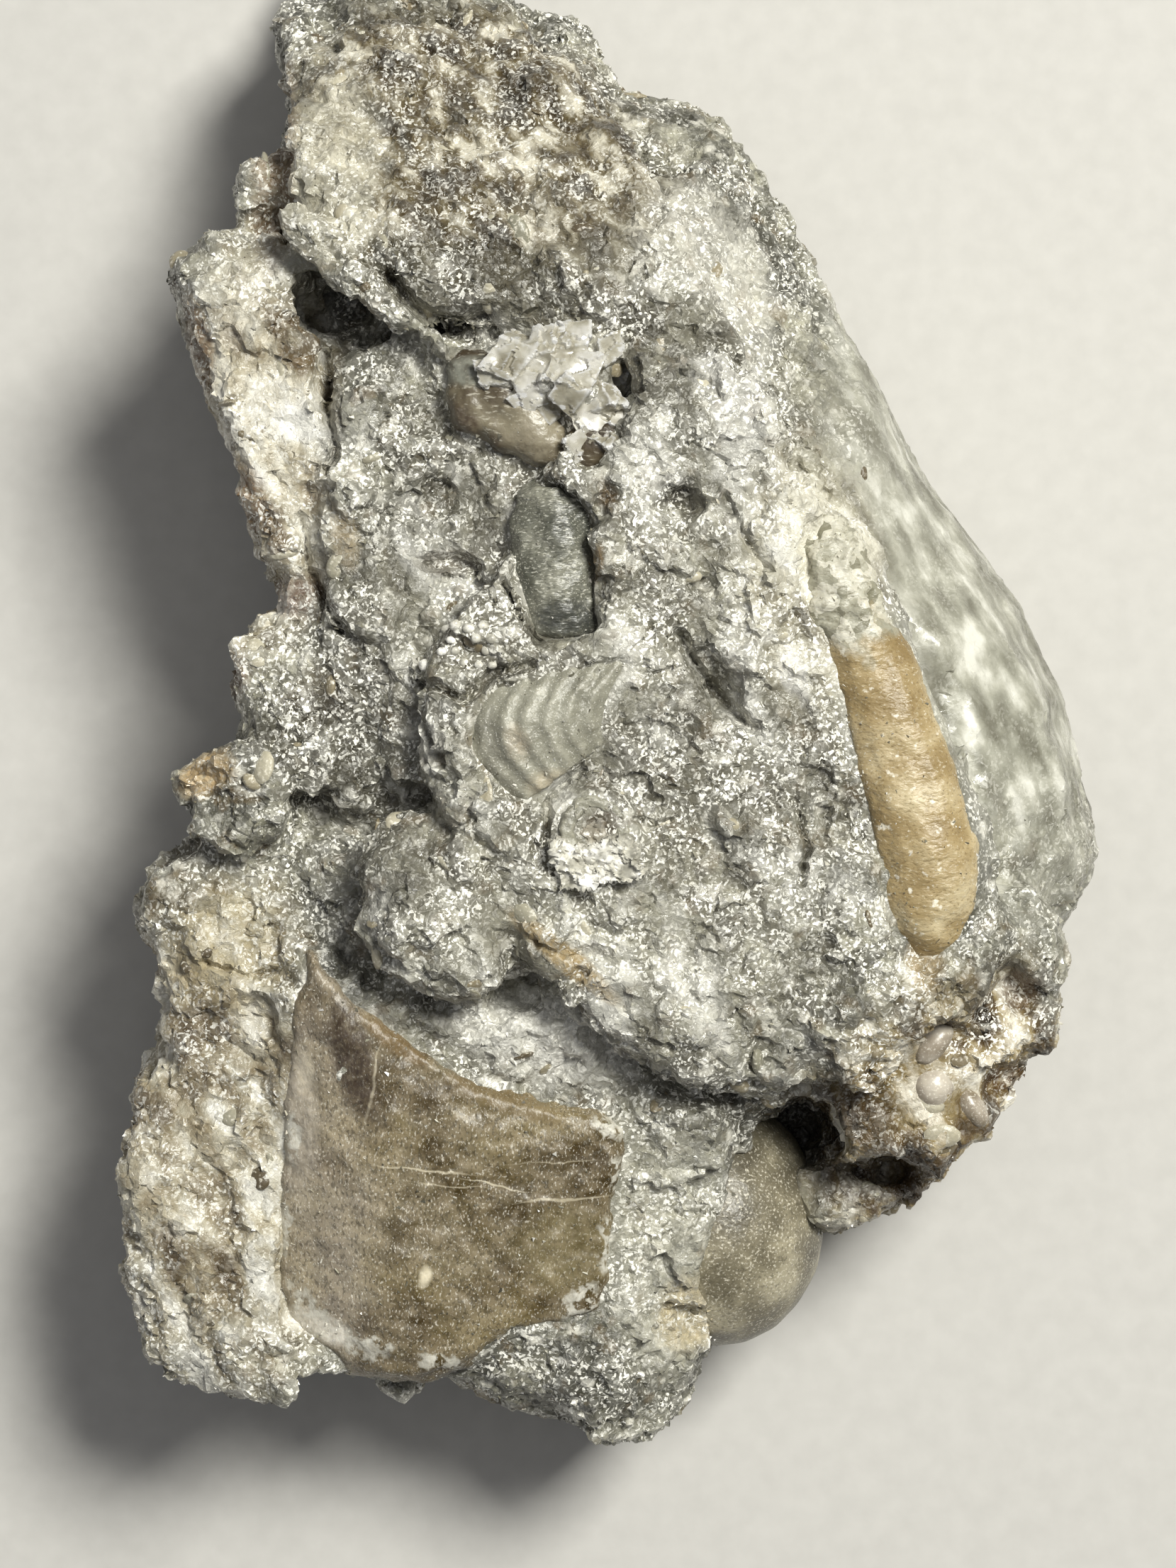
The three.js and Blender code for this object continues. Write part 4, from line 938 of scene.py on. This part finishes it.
def scatter(ground, shape, name, thick, sizes, sink, seed, patchy, lying):
    """Sets copies of a shape over the rough faces that look up, so many to a square millimetre."""
    tree, before = node_tree(name)
    place = put(tree, "GeometryNodeInputPosition")[0]
    level = put(tree, "ShaderNodeSeparateXYZ", {0: place})["Z"]
    upward = put(tree, "ShaderNodeSeparateXYZ", {0: put(tree, "GeometryNodeInputNormal")[0]})["Z"]
    rough = put(tree, "GeometryNodeInputNamedAttribute", {"Name": "rough"}, data_type="FLOAT")["Attribute"]
    density = put(tree, "ShaderNodeMapRange", {"Value": upward, "From Min": -0.3, "From Max": 0.5,
                                               "To Max": thick / MM ** 2})[0]
    high = put(tree, "ShaderNodeMath", {0: level, 1: 1.5 * MM}, operation="GREATER_THAN")[0]
    clouds = put(tree, "ShaderNodeTexNoise", {"Vector": place, "Scale": 0.6 / (0.9 * MM), "Detail": 4})["Fac"]
    patches = put(tree, "ShaderNodeMapRange", {"Value": clouds, "From Min": 0.35, "From Max": 0.6,
                                               "To Min": 1 - patchy})[0]
    flank = region(tree, place, *FLANK, 0, 1)
    density = chained(tree, "MULTIPLY", [density, rough, high, patches, flank])
    points = put(tree, "GeometryNodeDistributePointsOnFaces", {"Mesh": before, "Density": density,
                                                              "Seed": seed})
    down = put(tree, "ShaderNodeVectorMath", {0: points["Normal"], "Scale": -sink}, operation="SCALE")[0]
    seats = put(tree, "GeometryNodeSetPosition", {"Geometry": points["Points"], "Offset": down})[0]
    turns = [0.3, 0.3, 2 * math.pi] if lying else [2 * math.pi] * 3
    turn = put(tree, "FunctionNodeRandomValue", {"Min": [0] * 3, "Max": turns, "Seed": seed},
               data_type="FLOAT_VECTOR")[0]
    turn = put(tree, "FunctionNodeEulerToRotation", {0: turn})[0]
    turn = put(tree, "FunctionNodeRotateRotation", {0: points["Rotation"], 1: turn},
               rotation_space="LOCAL")[0]
    least, most = sizes
    grow = put(tree, "FunctionNodeRandomValue", {"Min": [least] * 3, "Max": [most] * 3, "Seed": seed + 1},
               data_type="FLOAT_VECTOR")[0]
    model = put(tree, "GeometryNodeObjectInfo", {"Object": shape})["Geometry"]
    set_out = put(tree, "GeometryNodeInstanceOnPoints", {"Points": seats, "Instance": model, "Rotation": turn,
                                                         "Scale": grow})[0]
    tone = put(tree, "FunctionNodeRandomValue", {"Seed": seed + 2})[1]
    toned = put(tree, "GeometryNodeStoreNamedAttribute", {"Geometry": set_out, "Name": "tone", "Value": tone},
                data_type="FLOAT", domain="INSTANCE")[0]
    real = put(tree, "GeometryNodeRealizeInstances", {"Geometry": toned})[0]
    put(tree, "NodeGroupOutput", {"Geometry": real})
    pick(ground)
    bpy.ops.object.duplicate()
    piece = bpy.context.object
    piece.name = name
    modify(piece, "NODES", node_group=tree)
    piece.data.materials.clear()
    bpy.data.objects.remove(shape)
    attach(piece, "root")
    return piece


rock = loose_copy(stone, "rock")

bpy.ops.object.select_all(action="DESELECT")
bpy.ops.mesh.primitive_ico_sphere_add(subdivisions=2, radius=SCRAP_RADIUS, scale=(1, 0.7, 0.35))
bpy.ops.object.transform_apply(location=False, rotation=False, scale=True)
scraps = scatter(rock, bpy.context.object, "shell_scraps", SCRAPS, SCRAP_SIZES, SCRAP_SINK, 9, 0, True)
worn(scraps, "scrap wear", 0.5, 0.1)
pick(scraps)
bpy.ops.object.shade_smooth_by_angle(angle=math.radians(40))

# The scraps come from different shells, so each has a tone of its own.
scrap_shell, tree, shader, coords = material("scraps of shell")
tone = put(tree, "ShaderNodeAttribute", attribute_name="tone")["Fac"]
body = put(tree, "ShaderNodeValToRGB", {"Fac": tone}, [(0, "#5b5140"), (0.25, "#7d725b"), (0.5, "#9a917a"),
                                                      (0.75, "#bdb7a3"), (1, "#868474")])["Color"]
body = flecked(tree, coords, 0.1, (0.55, 0.68), body, "#efeadb", 0.7, 3)
shell_grain(tree, shader, body, coords, 0.2, 0.06, 0.35)
scraps.data.materials.append(scrap_shell)

# The splinters lie on the rock and over the edges of the shells, where these run in under it. The
# sugary end of the spine is rough too.
ground = [rock]
for bedded in (tail, spine, ribbed, thorax, head, ring, grain, cheek):
    skin = loose_copy(bedded, "skin")
    weigh(skin, stone, 0.7, 0.15)
    if bedded == spine:
        sugary = [v.index for v in skin.data.vertices if v.co.y > SUGAR_TOP]
        skin.vertex_groups["rough"].add(sugary, 0.8, "REPLACE")
    ground.append(skin)
ground = joined(ground, "ground")

bpy.ops.object.select_all(action="DESELECT")
bpy.ops.mesh.primitive_cone_add(vertices=3, radius1=SPLINTER_RADIUS, depth=1.5 * SPLINTER_RADIUS)
splinters = scatter(ground, bpy.context.object, "calcite_splinters", SPLINTERS, SPLINTER_SIZES,
                    SPLINTER_SINK, 4, 1, False)
bpy.data.objects.remove(ground)

# Each splinter is a small mirror of its own tone, from grey to white.
crushed, tree, shader, coords = material("crushed calcite")
tone = put(tree, "ShaderNodeAttribute", attribute_name="tone")["Fac"]
body = put(tree, "ShaderNodeValToRGB", {"Fac": tone}, [(0, "#56544a"), (0.3, "#747163"), (0.65, "#969380"),
                                                      (0.84, "#dbd8ca"), (1, "#ffffff")])["Color"]
body = weathered(tree, coords, body)
tree.links.new(body, shader.inputs["Base Color"])
shader.inputs["Roughness"].default_value = 0.28
shader.inputs["IOR"].default_value = 1.6
splinters.data.materials.append(crushed)
